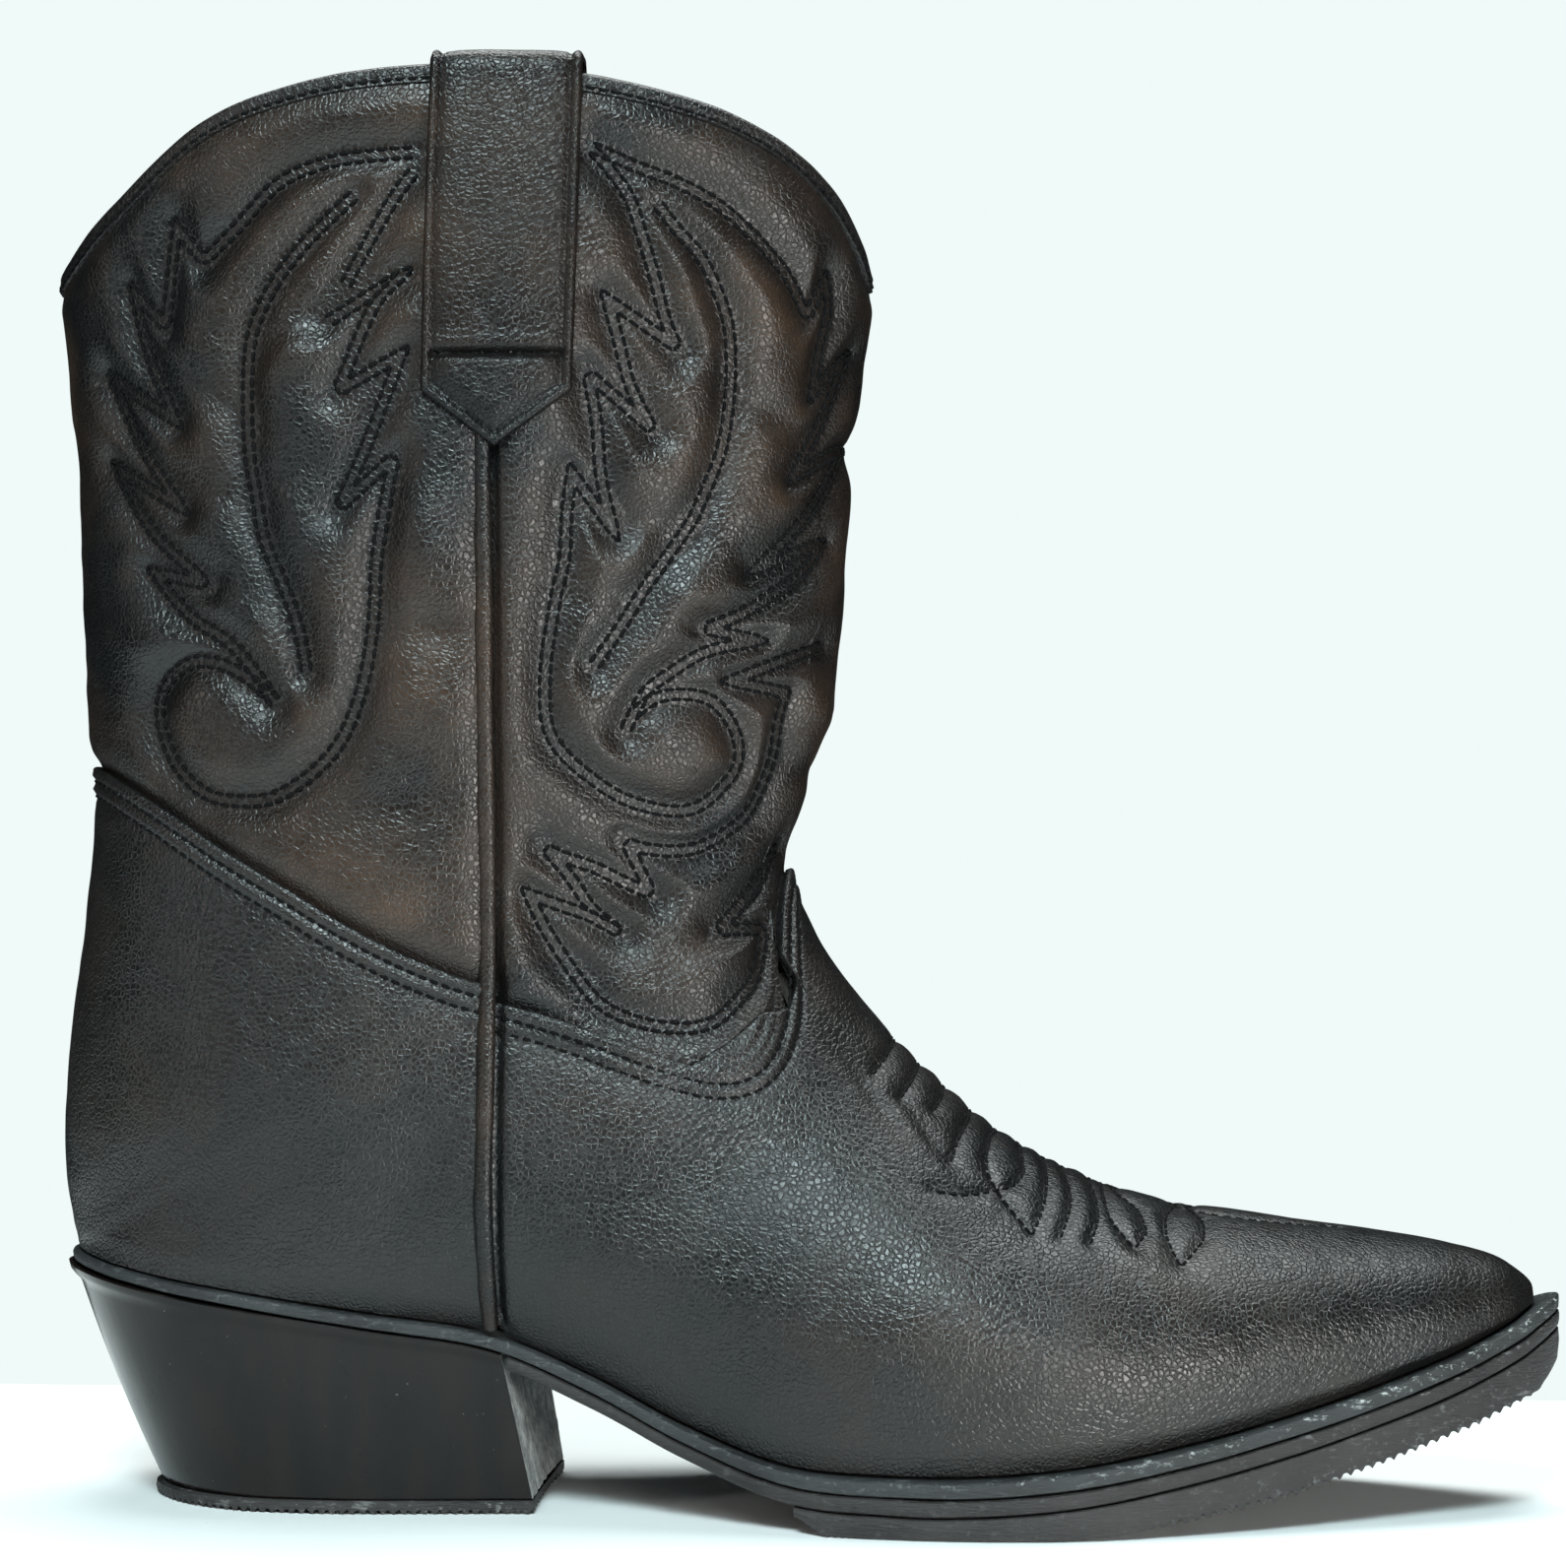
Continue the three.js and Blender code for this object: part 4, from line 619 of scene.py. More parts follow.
def heel_material():
    """Stained and waxed heel: near black with a brown tint and faint upright streaks."""
    s = Shader("heel_wall")
    streaks = s.noise(120.0, 4.0, 0.6, s.stretched(1.0, 1.0, 0.25))
    haze = s.noise(32.0, 3.0)
    near_black, brown = colour(0.0022, 0.0019, 0.0018), colour(0.0085, 0.0056, 0.0045)
    tone = s.mix(s.ramp(streaks, 0.35, 0.75), near_black, brown)
    dust = s.ramp(s.noise(900.0, 3.0, 0.7), 0.73, 0.75)
    tone = s.mix(s.maths("MULTIPLY", dust, 0.5), tone, colour(0.35, 0.36, 0.36))
    bump = s.raised(streaks, 0.10, s.raised(s.noise(1500.0), 0.02))
    return s.finish(Base_Color=tone, Roughness=s.ramp(haze, 0.3, 0.7, 0.20, 0.36), Normal=bump,
                    Specular_IOR_Level=0.28)


def breast_material():
    """The heel's sanded front face, greyer and rough; its pale tone is partly the sanded finish and partly
    painted light from the right.
    """
    s = Shader("heel_breast")
    mottle = s.noise(260.0, 6.0, 0.75)
    band = s.noise(40.0, 3.0)
    # painted light: the pale grey is raised beyond the sanded finish to stand in for light from the right
    tone = s.mix(s.ramp(mottle, 0.4, 0.68), colour(0.13, 0.14, 0.14), colour(0.60, 0.64, 0.62))
    tone = s.mix(s.ramp(band, 0.35, 0.7, 0.0, 0.5), tone, colour(0.10, 0.10, 0.10))
    return s.finish(Base_Color=tone, Roughness=0.8, Normal=s.raised(mottle, 0.6))


def steel_material():
    """Drawn steel with fine lines across."""
    s = Shader("steel")
    lines = s.noise(700.0, 3.0, 0.5, s.stretched(1.0, 6.0, 1.0))
    tone = s.mix(s.ramp(lines, 0.3, 0.7), colour(0.42, 0.42, 0.41), colour(0.55, 0.55, 0.54))
    return s.finish(Base_Color=tone, Metallic=1.0, Roughness=s.ramp(lines, 0.3, 0.7, 0.28, 0.45),
                    Normal=s.raised(lines, 0.03))


def board_material(name, tone_a, tone_b):
    """Fibrous or foamed filling in two close tones."""
    s = Shader(name)
    fibres = s.noise(500.0, 5.0, 0.65, s.stretched(0.4, 1.0, 1.0))
    tone = s.mix(s.ramp(fibres, 0.3, 0.7), colour(*tone_a), colour(*tone_b))
    roughness = s.ramp(fibres, 0.2, 0.8, 0.75, 0.92)
    return s.finish(Base_Color=tone, Roughness=roughness, Normal=s.raised(fibres, 0.15))


UPPER = leather("upper_leather", (0.0020, 0.0024, 0.0028), (0.056, 0.031, 0.018))
FOOT = leather(
    "foot_leather", (0.0022, 0.0028, 0.0031), (0.024, 0.015, 0.010), warm_share=0.6, gloss=0.46)
STRAP_LEATHER = leather("strap_leather", (0.0024, 0.0026, 0.0029), (0.040, 0.023, 0.014), gloss=0.28)
BINDING = leather("binding_leather", (0.0028, 0.0030, 0.0032), (0.018, 0.012, 0.009), 0.36)
THREAD = thread_material()
LINING = lining_material("lining", (0.030, 0.024, 0.020), (0.052, 0.042, 0.034))
SOCK = lining_material("sock", (0.022, 0.019, 0.017), (0.036, 0.030, 0.026))
WELT_EDGE = rubber_material(
    "welt_edge", (0.012, 0.013, 0.014), (0.040, 0.045, 0.046), (0.42, 0.45, 0.45), 0.9)
SOLE_EDGE = rubber_material(
    "sole_edge", (0.012, 0.011, 0.011), (0.034, 0.032, 0.031), (0.30, 0.31, 0.31), 0.45)
TREAD = rubber_material(
    "tread", (0.015, 0.014, 0.014), (0.040, 0.038, 0.037), (0.35, 0.36, 0.36), 0.4)
LIFT = rubber_material(
    "top_lift", (0.014, 0.014, 0.014), (0.045, 0.043, 0.042), (0.40, 0.41, 0.41), 0.6, 0.6)
HEEL_WALL = heel_material()
BREAST = breast_material()
STEEL = steel_material()
FOAM = board_material("foam", (0.38, 0.33, 0.25), (0.52, 0.46, 0.36))
BOARD = board_material("board", (0.19, 0.12, 0.07), (0.30, 0.21, 0.13))
STIFFENER = board_material("stiffener", (0.12, 0.11, 0.09), (0.20, 0.18, 0.15))

# ------------------------------------------------------------------ stitch lines

# Side-view points, on the outer side; the inner side mirrors them. A sharp turn is a corner.
BACK_FLAME = [
    (-68, 249), (-84, 247.5), (-93.5, 244), (-101.5, 236.5), (-108.5, 230.5), (-114, 237), (-116.5, 219),
    (-123.5, 226), (-119.5, 212), (-114.5, 201.5), (-129, 210.5), (-122, 197), (-113.5, 185.5),
    (-128.5, 194), (-120, 181.5), (-108.5, 171.5), (-120, 174), (-112, 165.5), (-104, 160.5),
    (-98.5, 154.5), (-95, 149.5),
]
BACK_CURL = [
    (-95, 149.5), (-101, 154.5), (-107, 157), (-112.5, 157), (-117.5, 153), (-119, 148), (-117.5, 142),
    (-114.5, 137), (-108.5, 132.5), (-101.5, 131.5), (-96, 132), (-89.5, 135.5), (-83.5, 141),
    (-80, 147.5), (-77.5, 155.5), (-76, 165), (-75.5, 174.5), (-74, 184), (-72, 194), (-82.5, 185),
    (-77, 196.5), (-70.5, 212.5), (-82.5, 206), (-74.5, 223), (-70, 227), (-84.5, 218.5),
]
BACK_TIP = [
    (-81, 225), (-75.5, 234.5), (-71.5, 241), (-68, 245.5),
]
BACK_VEIN = [
    (-79, 241.5), (-88, 233.5), (-92.5, 228.5), (-96.5, 222.5), (-99, 216.5), (-100, 205), (-99.5, 193),
    (-98.5, 188), (-97, 179.5), (-93.5, 171.5), (-91, 165), (-89.5, 159), (-89, 155),
]
FRONT_FLAME = [
    (-36, 250), (-27.5, 246.5), (-20.5, 244), (-13.5, 240.5), (-8.5, 236.5), (-4, 232), (-0.5, 227.5),
    (2.5, 221), (6, 228), (6.5, 222.5), (5, 216), (3.5, 207), (9.5, 214.5), (7.5, 208.5), (4.5, 201),
    (0, 191.5), (8.5, 197.5), (6, 191), (2.5, 184.5), (-3.5, 177.5), (-7, 174), (5, 179.5), (2, 174.5),
    (-4.5, 169), (-11, 165), (-16, 163), (-6, 161), (-11.5, 160), (-16.5, 158.5), (-22, 155),
    (-26.5, 151.5), (-30.5, 144),
]
FRONT_CURL = [
    (-28.5, 147.5), (-25.5, 150), (-20.5, 151), (-15, 150), (-11.5, 146), (-10, 141.5), (-10.5, 137.5),
    (-13, 134), (-17, 130.5), (-21, 129.5), (-30, 131.5), (-37, 136), (-41, 139.5), (-43, 142),
    (-44.5, 146), (-44.5, 156.5), (-43.5, 163), (-42.5, 169), (-41, 175.5), (-40.5, 184), (-39.5, 191),
    (-32, 180.5), (-33.5, 186), (-34.5, 192), (-35, 200), (-36.5, 209), (-25, 199), (-29, 207),
    (-31, 215), (-33, 222.5), (-20.5, 214), (-22.5, 218.5), (-24.5, 226.5), (-27, 235), (-29, 241),
    (-32.5, 246), (-36, 250),
]
FRONT_VEIN = [
    (-24, 240), (-21, 236), (-16.5, 231), (-13.5, 225), (-11.5, 219), (-11, 211), (-11.5, 203),
    (-13, 195), (-14.5, 191), (-18, 183), (-22, 177), (-26.5, 170.5), (-30.5, 164), (-33.5, 159.5),
    (-36, 156),
]
LOW_FLAME = [
    (4.5, 160), (-11.5, 153.5), (-1.5, 151.5), (-3, 146), (-4, 139.5), (-6.5, 133), (-8.5, 129),
    (-12.5, 125.5), (-18.5, 122.5), (-28.5, 123), (-30.5, 124), (-26, 114.5), (-30.5, 116.5),
    (-36.5, 119.5), (-42.5, 121.5), (-45, 123), (-40.5, 117.5), (-36.5, 111.5), (-31.5, 107.5),
    (-37, 110.5), (-42.5, 112.5), (-48, 114.5), (-45.5, 109), (-42.5, 104), (-39, 99), (-35.5, 95),
    (-31, 92.5), (-26, 91), (-22, 90.5), (-17.5, 90.5), (-13.5, 92), (-10.5, 95), (-7.5, 98.5),
    (-6, 103.5), (-5.5, 108.5), (-14, 108), (-10.5, 112), (-6.5, 117), (-3.5, 123),
]
VAMP_WRINKLES = [
    [(18, 89), (16.5, 84.5), (14, 81)],
    [(22, 85), (21.5, 80.5), (19, 76.5)],
    [(26, 80), (26.5, 76.5), (25, 74)],
    [(31, 75), (31.5, 72.5), (30, 69.5), (28.5, 65.5)],
    [(39, 70), (35.5, 69), (35, 64.5), (37, 60.5), (43.5, 53)],
    [(39, 70), (41, 66), (42, 63), (40, 61), (37, 60.5), (31, 60), (25.5, 61)],
    [(43.5, 53), (45.5, 57.5), (46, 62), (44, 66)],
    [(46.5, 64.5), (49, 62), (50.5, 58), (48.5, 52)],
    [(52, 62.5), (54.5, 59), (55.5, 55.5), (54, 51)],
    [(55.5, 61), (59, 58), (63, 55.5), (64.5, 52.5), (62, 50), (57.5, 55), (56.5, 58), (55.5, 61)],
    [(71, 56), (68, 54.5), (68, 52), (69, 49.5), (70.5, 47), (75, 51), (75, 53.5), (71, 56)],
]
# The lens on top of the toe, as x and half-width.
TOE_LENS = [(65.5, 0.4), (71, 3.2), (79, 5.4), (88, 4.6), (96, 2.2), (101, 0.2)]

TWIN_HALF = 0.95
PITCH = 2.3


def lift_line(line, side):
    """A side-view line on the surface: 3D parts between its corners, in even steps."""
    parts = []
    for part in split_at_corners(line):
        flat = smooth_line(part, 0.4)
        half = np.sqrt(np.maximum(squared_half(flat[:, 0], flat[:, 1], side), 0))
        start = np.stack([flat[:, 0], side * np.maximum(half, 0.3), flat[:, 1]], 1)
        point, _ = onto_surface(start, side)
        parts.append(even(point, 0.45))
    path = [parts[0]]
    for part in parts[1:]:
        path.append(part[1:])
    return np.concatenate(path)


MITRE_LIMIT = 2.3
STITCH_SHORTEST, STITCH_LONGEST = 0.8, 4


def beside(path, side, distance):
    """The path moved sideways along the surface, mitred at corners and trimmed inside them."""
    _, normal = onto_surface(path, side)
    tangent = unit(np.diff(path, axis=0))
    across = unit(np.cross(0.5 * (normal[1:] + normal[:-1]), tangent))
    before, after = np.r_[across[:1], across], np.r_[across, across[-1:]]
    total = before + after
    share = 1 / np.maximum(1 + (before * after).sum(1), 1e-3)
    size = np.linalg.norm(total, axis=1) * share
    move = total * (share * np.minimum(1, MITRE_LIMIT / np.maximum(size, 1e-6)))[:, None]
    moved = path + move * distance
    clear = Nearest(path).distance(moved) > 0.9 * abs(distance)
    moved, _ = onto_surface(moved[clear], side)
    return moved


def stitch_spans(row):
    """Start and end of each stitch along a row, with a stitch's end at each corner."""
    spans = []
    coarse = row[::2] if len(row) > 8 else row
    for part in split_at_corners(coarse, 50):
        if len(part) < 2:
            continue
        marks = even(part, PITCH)
        for a, b in zip(marks[:-1], marks[1:], strict=True):
            if STITCH_SHORTEST < np.linalg.norm(b - a) < STITCH_LONGEST:
                spans.append((a, b))
    return spans


def twin_rows(line, side):
    path = lift_line(line, side)
    return path, [beside(path, side, TWIN_HALF), beside(path, side, -TWIN_HALF)]


# The rings of one stitch: share of its length, height over the leather, share of its radius.
STITCH_RINGS = [(0.02, -0.30, 0.72), (0.27, 0.20, 1.0), (0.73, 0.20, 1.0), (0.98, -0.30, 0.72)]
STITCH_TURNS = np.linspace(0, 2 * math.pi, 5, endpoint=False)


def thread_piece(name, rows_by_side, relief, radius=0.34):
    """All stitches of some rows as one piece: short capsules whose ends dive into the leather."""
    starts, ends, sides = [], [], []
    for side, rows in rows_by_side:
        for row in rows:
            for a, b in stitch_spans(row):
                starts.append(a)
                ends.append(b)
                sides.append(side)
    a, b, side = np.array(starts), np.array(ends), np.array(sides)
    middle, normal = onto_surface((a + b) / 2, side)
    level = relief(middle)
    along = unit(b - a)
    across = unit(np.cross(normal, along))
    points = []
    for share, height, size in STITCH_RINGS:
        centre = lerp(a, b, share) + normal * (level + height)[:, None]
        for turn in STITCH_TURNS:
            points.append(centre + (across * math.cos(turn) + normal * math.sin(turn)) * size * radius)
    points = np.stack(points, 1)
    size = points.shape[1]
    index = np.arange(size).reshape(len(STITCH_RINGS), len(STITCH_TURNS))
    one = band_faces(index) + [index[0][::-1].tolist(), index[-1].tolist()]
    one = facing_out(points[0], one)
    faces = [[i + k * size for i in f] for k in range(len(points)) for f in one]
    return add_mesh(name, points.reshape(-1, 3), faces, THREAD, (), THREAD_ANGLE)


# ------------------------------------------------------------------ edges and grids of the upper

def front_seam_girth(t):
    bx, fx = at("base x", t), at("front x", t)
    return along_to_girth((FRONT_SEAM_X - bx) / (fx - bx), t, OUTER)


def front_edge(edge):
    """An edge across the front as (share of the way to the seam, station), rising in share."""
    line = smooth_line(edge, 1.0)
    t, along = locate(line[:, 0], line[:, 1])
    share = ((1 - along_to_girth(along, t, OUTER)) / (1 - front_seam_girth(t)))[::-1]
    share = np.maximum.accumulate(share) + np.arange(len(share)) * 1e-6
    return np.clip(share, 0, 1), t[::-1]


BACK_ROWS = np.linspace(HEEL_SEAT, TOP, 300)
back_line_z, back_line_x = at("base z", BACK_ROWS), at("base x", BACK_ROWS)


def back_x(z):
    return np.interp(z, back_line_z, back_line_x)


def back_edge(edge):
    """An edge round the back as (share of the way from seam to back line, z), rising in share."""
    line = smooth_line(edge, 1.0)
    share = (BACK_SEAM_X - line[:, 0]) / (BACK_SEAM_X - back_x(line[:, 1]))
    order = np.argsort(share)
    return share[order], line[order, 1]


vamp_across = front_edge(VAMP_EDGE)
top_across = front_edge(TOPLINE_FRONT)
counter_around = back_edge(COUNTER_EDGE)
top_around = back_edge(TOPLINE_BACK)
foot_rows = np.linspace(0, HEEL_SEAT, 900)
feather = np.stack([at("base x", foot_rows), at("base z", foot_rows)], 1)
feather_around = back_edge(feather[feather[:, 0] < SEAM_X + 3])


def side_of(u):
    return np.where(u > 0, INNER, OUTER)


def front_grid(low, high, columns, rows):
    """Side-view points and sides from one edge across the front up to another."""
    u = np.linspace(-1, 1, columns)[None, :]
    v = np.linspace(0, 1, rows)[:, None]
    q = np.abs(u)
    t = lerp(np.interp(q, *low), np.interp(q, *high), v)
    side = np.broadcast_to(side_of(u), t.shape)
    x, z = fan_point(t, 1 - q * (1 - front_seam_girth(t)), side)
    return x, z, side


def back_grid(low, high, columns, rows, reach=1.0):
    """The same round the back; reach is how far it goes towards the seam."""
    u = np.linspace(-reach, reach, columns)[None, :]
    v = np.linspace(0, 1, rows)[:, None]
    share = np.cos(np.abs(u) * math.pi / 2)
    z = lerp(np.interp(share, *low), np.interp(share, *high), v)
    x = BACK_SEAM_X + share * (back_x(z) - BACK_SEAM_X)
    return x, z, np.broadcast_to(side_of(u), z.shape)


VAMP_MIDDLE_STATION = 190
VAMP_BEND = 5  # how late the rows bend towards the edge
VAMP_EDGE_WEIGHTS = (0.5, 90)  # of station and share, where columns are set along the edge
LEG_STATION = 150  # the seam's girth is defined from here on


def vamp_grid(columns, rows, toe_station=0.0, shorten=0.0, reach=1.0):
    """From the toe to the vamp's top edge; at the side it ends on the feather line, then the seam."""
    down, across = VAMP_EDGE_WEIGHTS
    edge = np.stack([vamp_across[1] * down, vamp_across[0] * across], 1)
    edge_run = even(edge, count=60)[:, 1] / across
    q = np.linspace(0, reach, columns // 2 + 1)
    q = lerp(q, np.interp(q, np.linspace(0, 1, len(edge_run)), edge_run), 0.5)
    u = np.r_[-q[:0:-1], q][None, :]
    v = np.linspace(0, 1, rows)[:, None]
    q = np.abs(u)
    # rows are square to the foot, and only the last ones bend to follow the edge
    end = np.interp(q, *vamp_across) - shorten
    t = lerp(toe_station, VAMP_MIDDLE_STATION, v) + (end - VAMP_MIDDLE_STATION) * v ** VAMP_BEND
    seam_girth = front_seam_girth(np.maximum(t, LEG_STATION))
    side_girth = np.where(at("base x", t) > FRONT_SEAM_X, 0.0, seam_girth)
    side = np.broadcast_to(side_of(u), t.shape)
    x, z = fan_point(t, 1 - q * (1 - side_girth), side)
    return x, z, side


# ------------------------------------------------------------------ relief of the leather

# Soft folds: side-view x, z, lean in degrees, half-length, half-width, height in mm.
SHAFT_FOLDS = [
    (-84, 223, 38, 15, 3.6, -1.0), (-90, 214, 38, 13, 3.4, 0.8), (-76, 204, 32, 13, 3.6, -0.9),
    (-106, 206, -38, 14, 3.8, -0.9), (-109, 190, -30, 12, 3.4, -0.7), (-86, 192, 18, 12, 3.6, -0.6),
    (-67, 180, 4, 7, 9, 0.9), (-66, 163, 0, 9, 4.5, -0.8), (-64, 148, 6, 8, 6, 0.5),
    (-104, 172, -26, 14, 4, -0.6), (-119, 160, -20, 13, 4, 0.6), (-116, 124, 20, 13, 5, 0.4),
    (-128, 205, -18, 9, 4, 0.6), (-96, 240, 20, 16, 4.2, 0.6), (-74, 131, 12, 12, 5, -0.5),
    (-118, 232, -12, 12, 4, -0.5), (-27, 183, -14, 15, 4.2, -0.9), (-29, 207, 22, 12, 3.8, -0.8),
    (-5, 203, -34, 12, 3.6, -0.7), (-45, 205, 0, 7, 6, 0.6), (-46, 151, 8, 8, 5, 0.6),
    (-20, 170, -24, 13, 4, 0.8), (-16, 230, -30, 16, 4, 0.7), (-38, 168, 14, 10, 4, -0.6),
    (-40, 128, -10, 12, 4.4, -0.7), (-20, 116, 10, 13, 4.6, 0.6), (-34, 101, -18, 13, 4.4, -0.6),
    (-12, 103, 30, 9, 3.6, 0.7), (-49, 106, 0, 6, 8, 0.5), (-46, 178, 0, 6, 7, -0.5),
    (-4, 140, -26, 9, 3.4, -0.6), (1, 150, -30, 9, 3, 0.5),
]
FOOT_FOLDS = [
    (14, 78, -52, 9, 1.6, -0.5), (19, 74, -50, 9, 1.5, 0.4), (24, 70, -48, 9, 1.5, -0.4),
    (-20, 62, 16, 30, 9, -0.5), (30, 40, 20, 24, 9, 0.4), (-36, 50, -10, 22, 8, 0.5),
    (44, 52, -35, 13, 2.6, -0.35), (64, 46, -40, 12, 2.6, 0.3),
]


INNER_FOLD_SHIFT = 3.5
FOLD_GAIN = 1.5
LOWEST = -1.15  # the leather never sinks into the padding under it
GROOVE_WIDTH = 0.72
PUFF_ZERO = 0.55  # share of full puff that stands at the reference surface


def folds_at(points, folds):
    """Height of the soft folds; the inner side has the same folds a little moved."""
    moved = np.where(points[..., 1] > 0, INNER_FOLD_SHIFT, 0.0)
    total = np.zeros(points.shape[:-1])
    for x, z, lean, length, width, height in folds:
        c, s = math.cos(math.radians(lean)), math.sin(math.radians(lean))
        dx, dz = points[..., 0] - x - moved, points[..., 2] - z + moved
        total += height * np.exp(-((dx * c + dz * s) / length) ** 2 - ((dz * c - dx * s) / width) ** 2)
    return total


class Relief:
    """Height of a sheet's outer face over the reference surface, from its stitching and folds."""

    def __init__(self, lines, rows, folds, puff, puff_width, groove, edges=None, base=0.0, rough=0.12):
        self.lines, self.rows = Nearest(np.concatenate(lines)), Nearest(np.concatenate(rows))
        self.folds, self.puff, self.puff_width, self.groove = folds, puff, puff_width, groove
        self.edges, self.base, self.rough = edges, base, rough

    def __call__(self, points):
        flat = points.reshape(-1, 3)
        far, near = self.lines.distance(flat), self.rows.distance(flat)
        full = 1 - np.exp(-(far / self.puff_width) ** 2)
        height = self.puff * (full - PUFF_ZERO) - self.groove * bump_at(near, 0, GROOVE_WIDTH)
        height += FOLD_GAIN * folds_at(flat, self.folds) * (0.25 + 0.75 * full)
        height += self.rough * (cloud(flat, 9.0) * 1.6 + cloud(flat, 3.2, 5.0) * 0.7) * (0.3 + 0.7 * full)
        height = height.reshape(points.shape[:-1]) + self.base
        height = height if self.edges is None else self.edges(points, height)
        return np.maximum(height, LOWEST)


def raised_share(height):
    """0 in the deepest grooves to 1 on the highest puffs, for the rubbed tone with its painted warm sheen.
    """
    low, high = np.percentile(height, 4), np.percentile(height, 97)
    return np.clip((height - low) / (high - low), 0, 1)


def gather(lines, maker=twin_rows):
    """Centre lines and rows of some lines on both sides: all lines, all rows, rows by side."""
    centres, rows, by_side_rows = [], [], []
    for side in (OUTER, INNER):
        mine = []
        for line in lines:
            path, beside_rows = maker(line, side)
            centres.append(path)
            mine += beside_rows
        rows += mine
        by_side_rows.append((side, mine))
    return centres, rows, by_side_rows


# ------------------------------------------------------------------ shaft panels

SHAFT_THICK = 1.4
SHAFT_DIVE = 1.15  # how far the shaft sinks where it runs under the foot leather
SHAFT_BELOW_EDGE, SHAFT_BELOW_TOP = 6, 2.0
SHAFT_PUFF, SHAFT_PUFF_WIDTH, SHAFT_GROOVE = 2.7, 4.4, 0.5
FOOT_STEP = 0.55  # how far the foot leather stands over the shaft
SEAM_DIP = 1.5

topline = [*TOPLINE_FRONT[::-1], *TOPLINE_BACK[::-1][1:]]
topline_paths = {side: lift_line(topline, side) for side in (OUTER, INNER)}
topline_near = Nearest(np.concatenate(list(topline_paths.values())))
vamp_edge_paths = {side: lift_line(VAMP_EDGE, side) for side in (OUTER, INNER)}
counter_edge_paths = {side: lift_line(COUNTER_EDGE, side) for side in (OUTER, INNER)}
foot_edge_near = Nearest(np.concatenate([*vamp_edge_paths.values(), *counter_edge_paths.values()]))


def under_foot_leather(points, height, inside):
    """The leather dives under the foot leather, and is quiet near it, the topline and the seam."""
    gap = foot_edge_near.distance(points)
    dive = np.where(inside, 1.0, 1 - smoothstep(gap, 0.2, 7.0))
    quiet = np.where(inside, 0.1, smoothstep(gap, 0.0, 4.0))
    quiet = quiet * smoothstep(topline_near.distance(points), 2.0, 7.0)
    seam = np.abs(points[..., 0] - SEAM_X)
    height = height * (0.15 + 0.85 * quiet) * smoothstep(seam, 0.0, 6.0) ** 0.5
    height = height - SHAFT_DIVE * dive
    ahead = points[..., 0] > SEAM_X
    return height - SEAM_DIP * np.where(ahead, bump_at(seam, 1.0, 1.3), 0.3 * bump_at(seam, 0, 2))


def cells_over(length, step):
    """Grid points over a length in steps of about this size, for whole coarse cells."""
    return int(round(length / step / COARSE)) * COARSE + 1


def moved_edge(edge, distance):
    return edge[0], edge[1] + distance


def build_shaft_panel(name, node, grid, inside_at, flames):
    x, z, side = grid
    point, normal = skin(x, z, side)
    lines, rows, sewn = gather(flames)
    relief = Relief(lines, rows, SHAFT_FOLDS, SHAFT_PUFF, SHAFT_PUFF_WIDTH, SHAFT_GROOVE)
    height = under_foot_leather(point, relief(point), inside_at(x, z))
    leather_sheet(name, point, normal, height, SHAFT_THICK, UPPER, [node],
                  attributes={"raised": raised_share(height)})
    thread_piece("thread_" + name, sewn,
                 lambda p: under_foot_leather(p, relief(p), np.zeros(len(p), bool)))


def build_shaft():
    def inside_front(x, z):
        t, along = locate(x, z)
        q = (1 - along_to_girth(along, t, OUTER)) / (1 - front_seam_girth(t))
        return t < np.interp(q, *vamp_across)

    def inside_back(x, z):
        share = (BACK_SEAM_X - x) / (BACK_SEAM_X - back_x(z))
        return z < np.interp(share, *counter_around)

    low, high = moved_edge(vamp_across, -SHAFT_BELOW_EDGE), moved_edge(top_across, -SHAFT_BELOW_TOP)
    grid = front_grid(low, high, cells_over(172, 0.68), cells_over(178, 0.68))
    build_shaft_panel("shaft_front", "shaft_front_panel", grid, inside_front,
                      [FRONT_FLAME, FRONT_CURL, FRONT_VEIN, LOW_FLAME])
    low, high = moved_edge(counter_around, -SHAFT_BELOW_EDGE), moved_edge(top_around, -SHAFT_BELOW_TOP)
    grid = back_grid(low, high, cells_over(208, 0.72), cells_over(150, 0.68))
    build_shaft_panel("shaft_back", "shaft_back_panel", grid, inside_back,
                      [BACK_FLAME, BACK_CURL, BACK_TIP, BACK_VEIN])


build_shaft()

# ------------------------------------------------------------------ foot leather

FOOT_THICK = 1.3
EDGE_FOLD = 4  # rows in the rolled top edge of the foot leather
TOE_TIP_NORMAL = (1, 0, 0.3)
FOOT_THREAD = 0.28
COUNTER_FOLDS = [(-100, 78, 12, 26, 12, 0.5), (-70, 62, 70, 18, 7, -0.5), (-122, 92, -60, 16, 8, -0.3)]


def edge_rows(edge, distances, side):
    """Stitch rows along an edge at these distances below it."""
    path = lift_line(edge, side)
    found = []
    for distance in distances:
        pair = [beside(path, side, distance), beside(path, side, -distance)]
        found.append(min(pair, key=lambda row: row[:, 2].mean()))
    return found


def edge_rows_by_side(edge, distances):
    return [(side, edge_rows(edge, distances, side)) for side in (OUTER, INNER)]


def all_rows(rows_by_side):
    return [row for _, rows in rows_by_side for row in rows]


def single_row(line, side):
    path = lift_line(line, side)
    return path, [path]


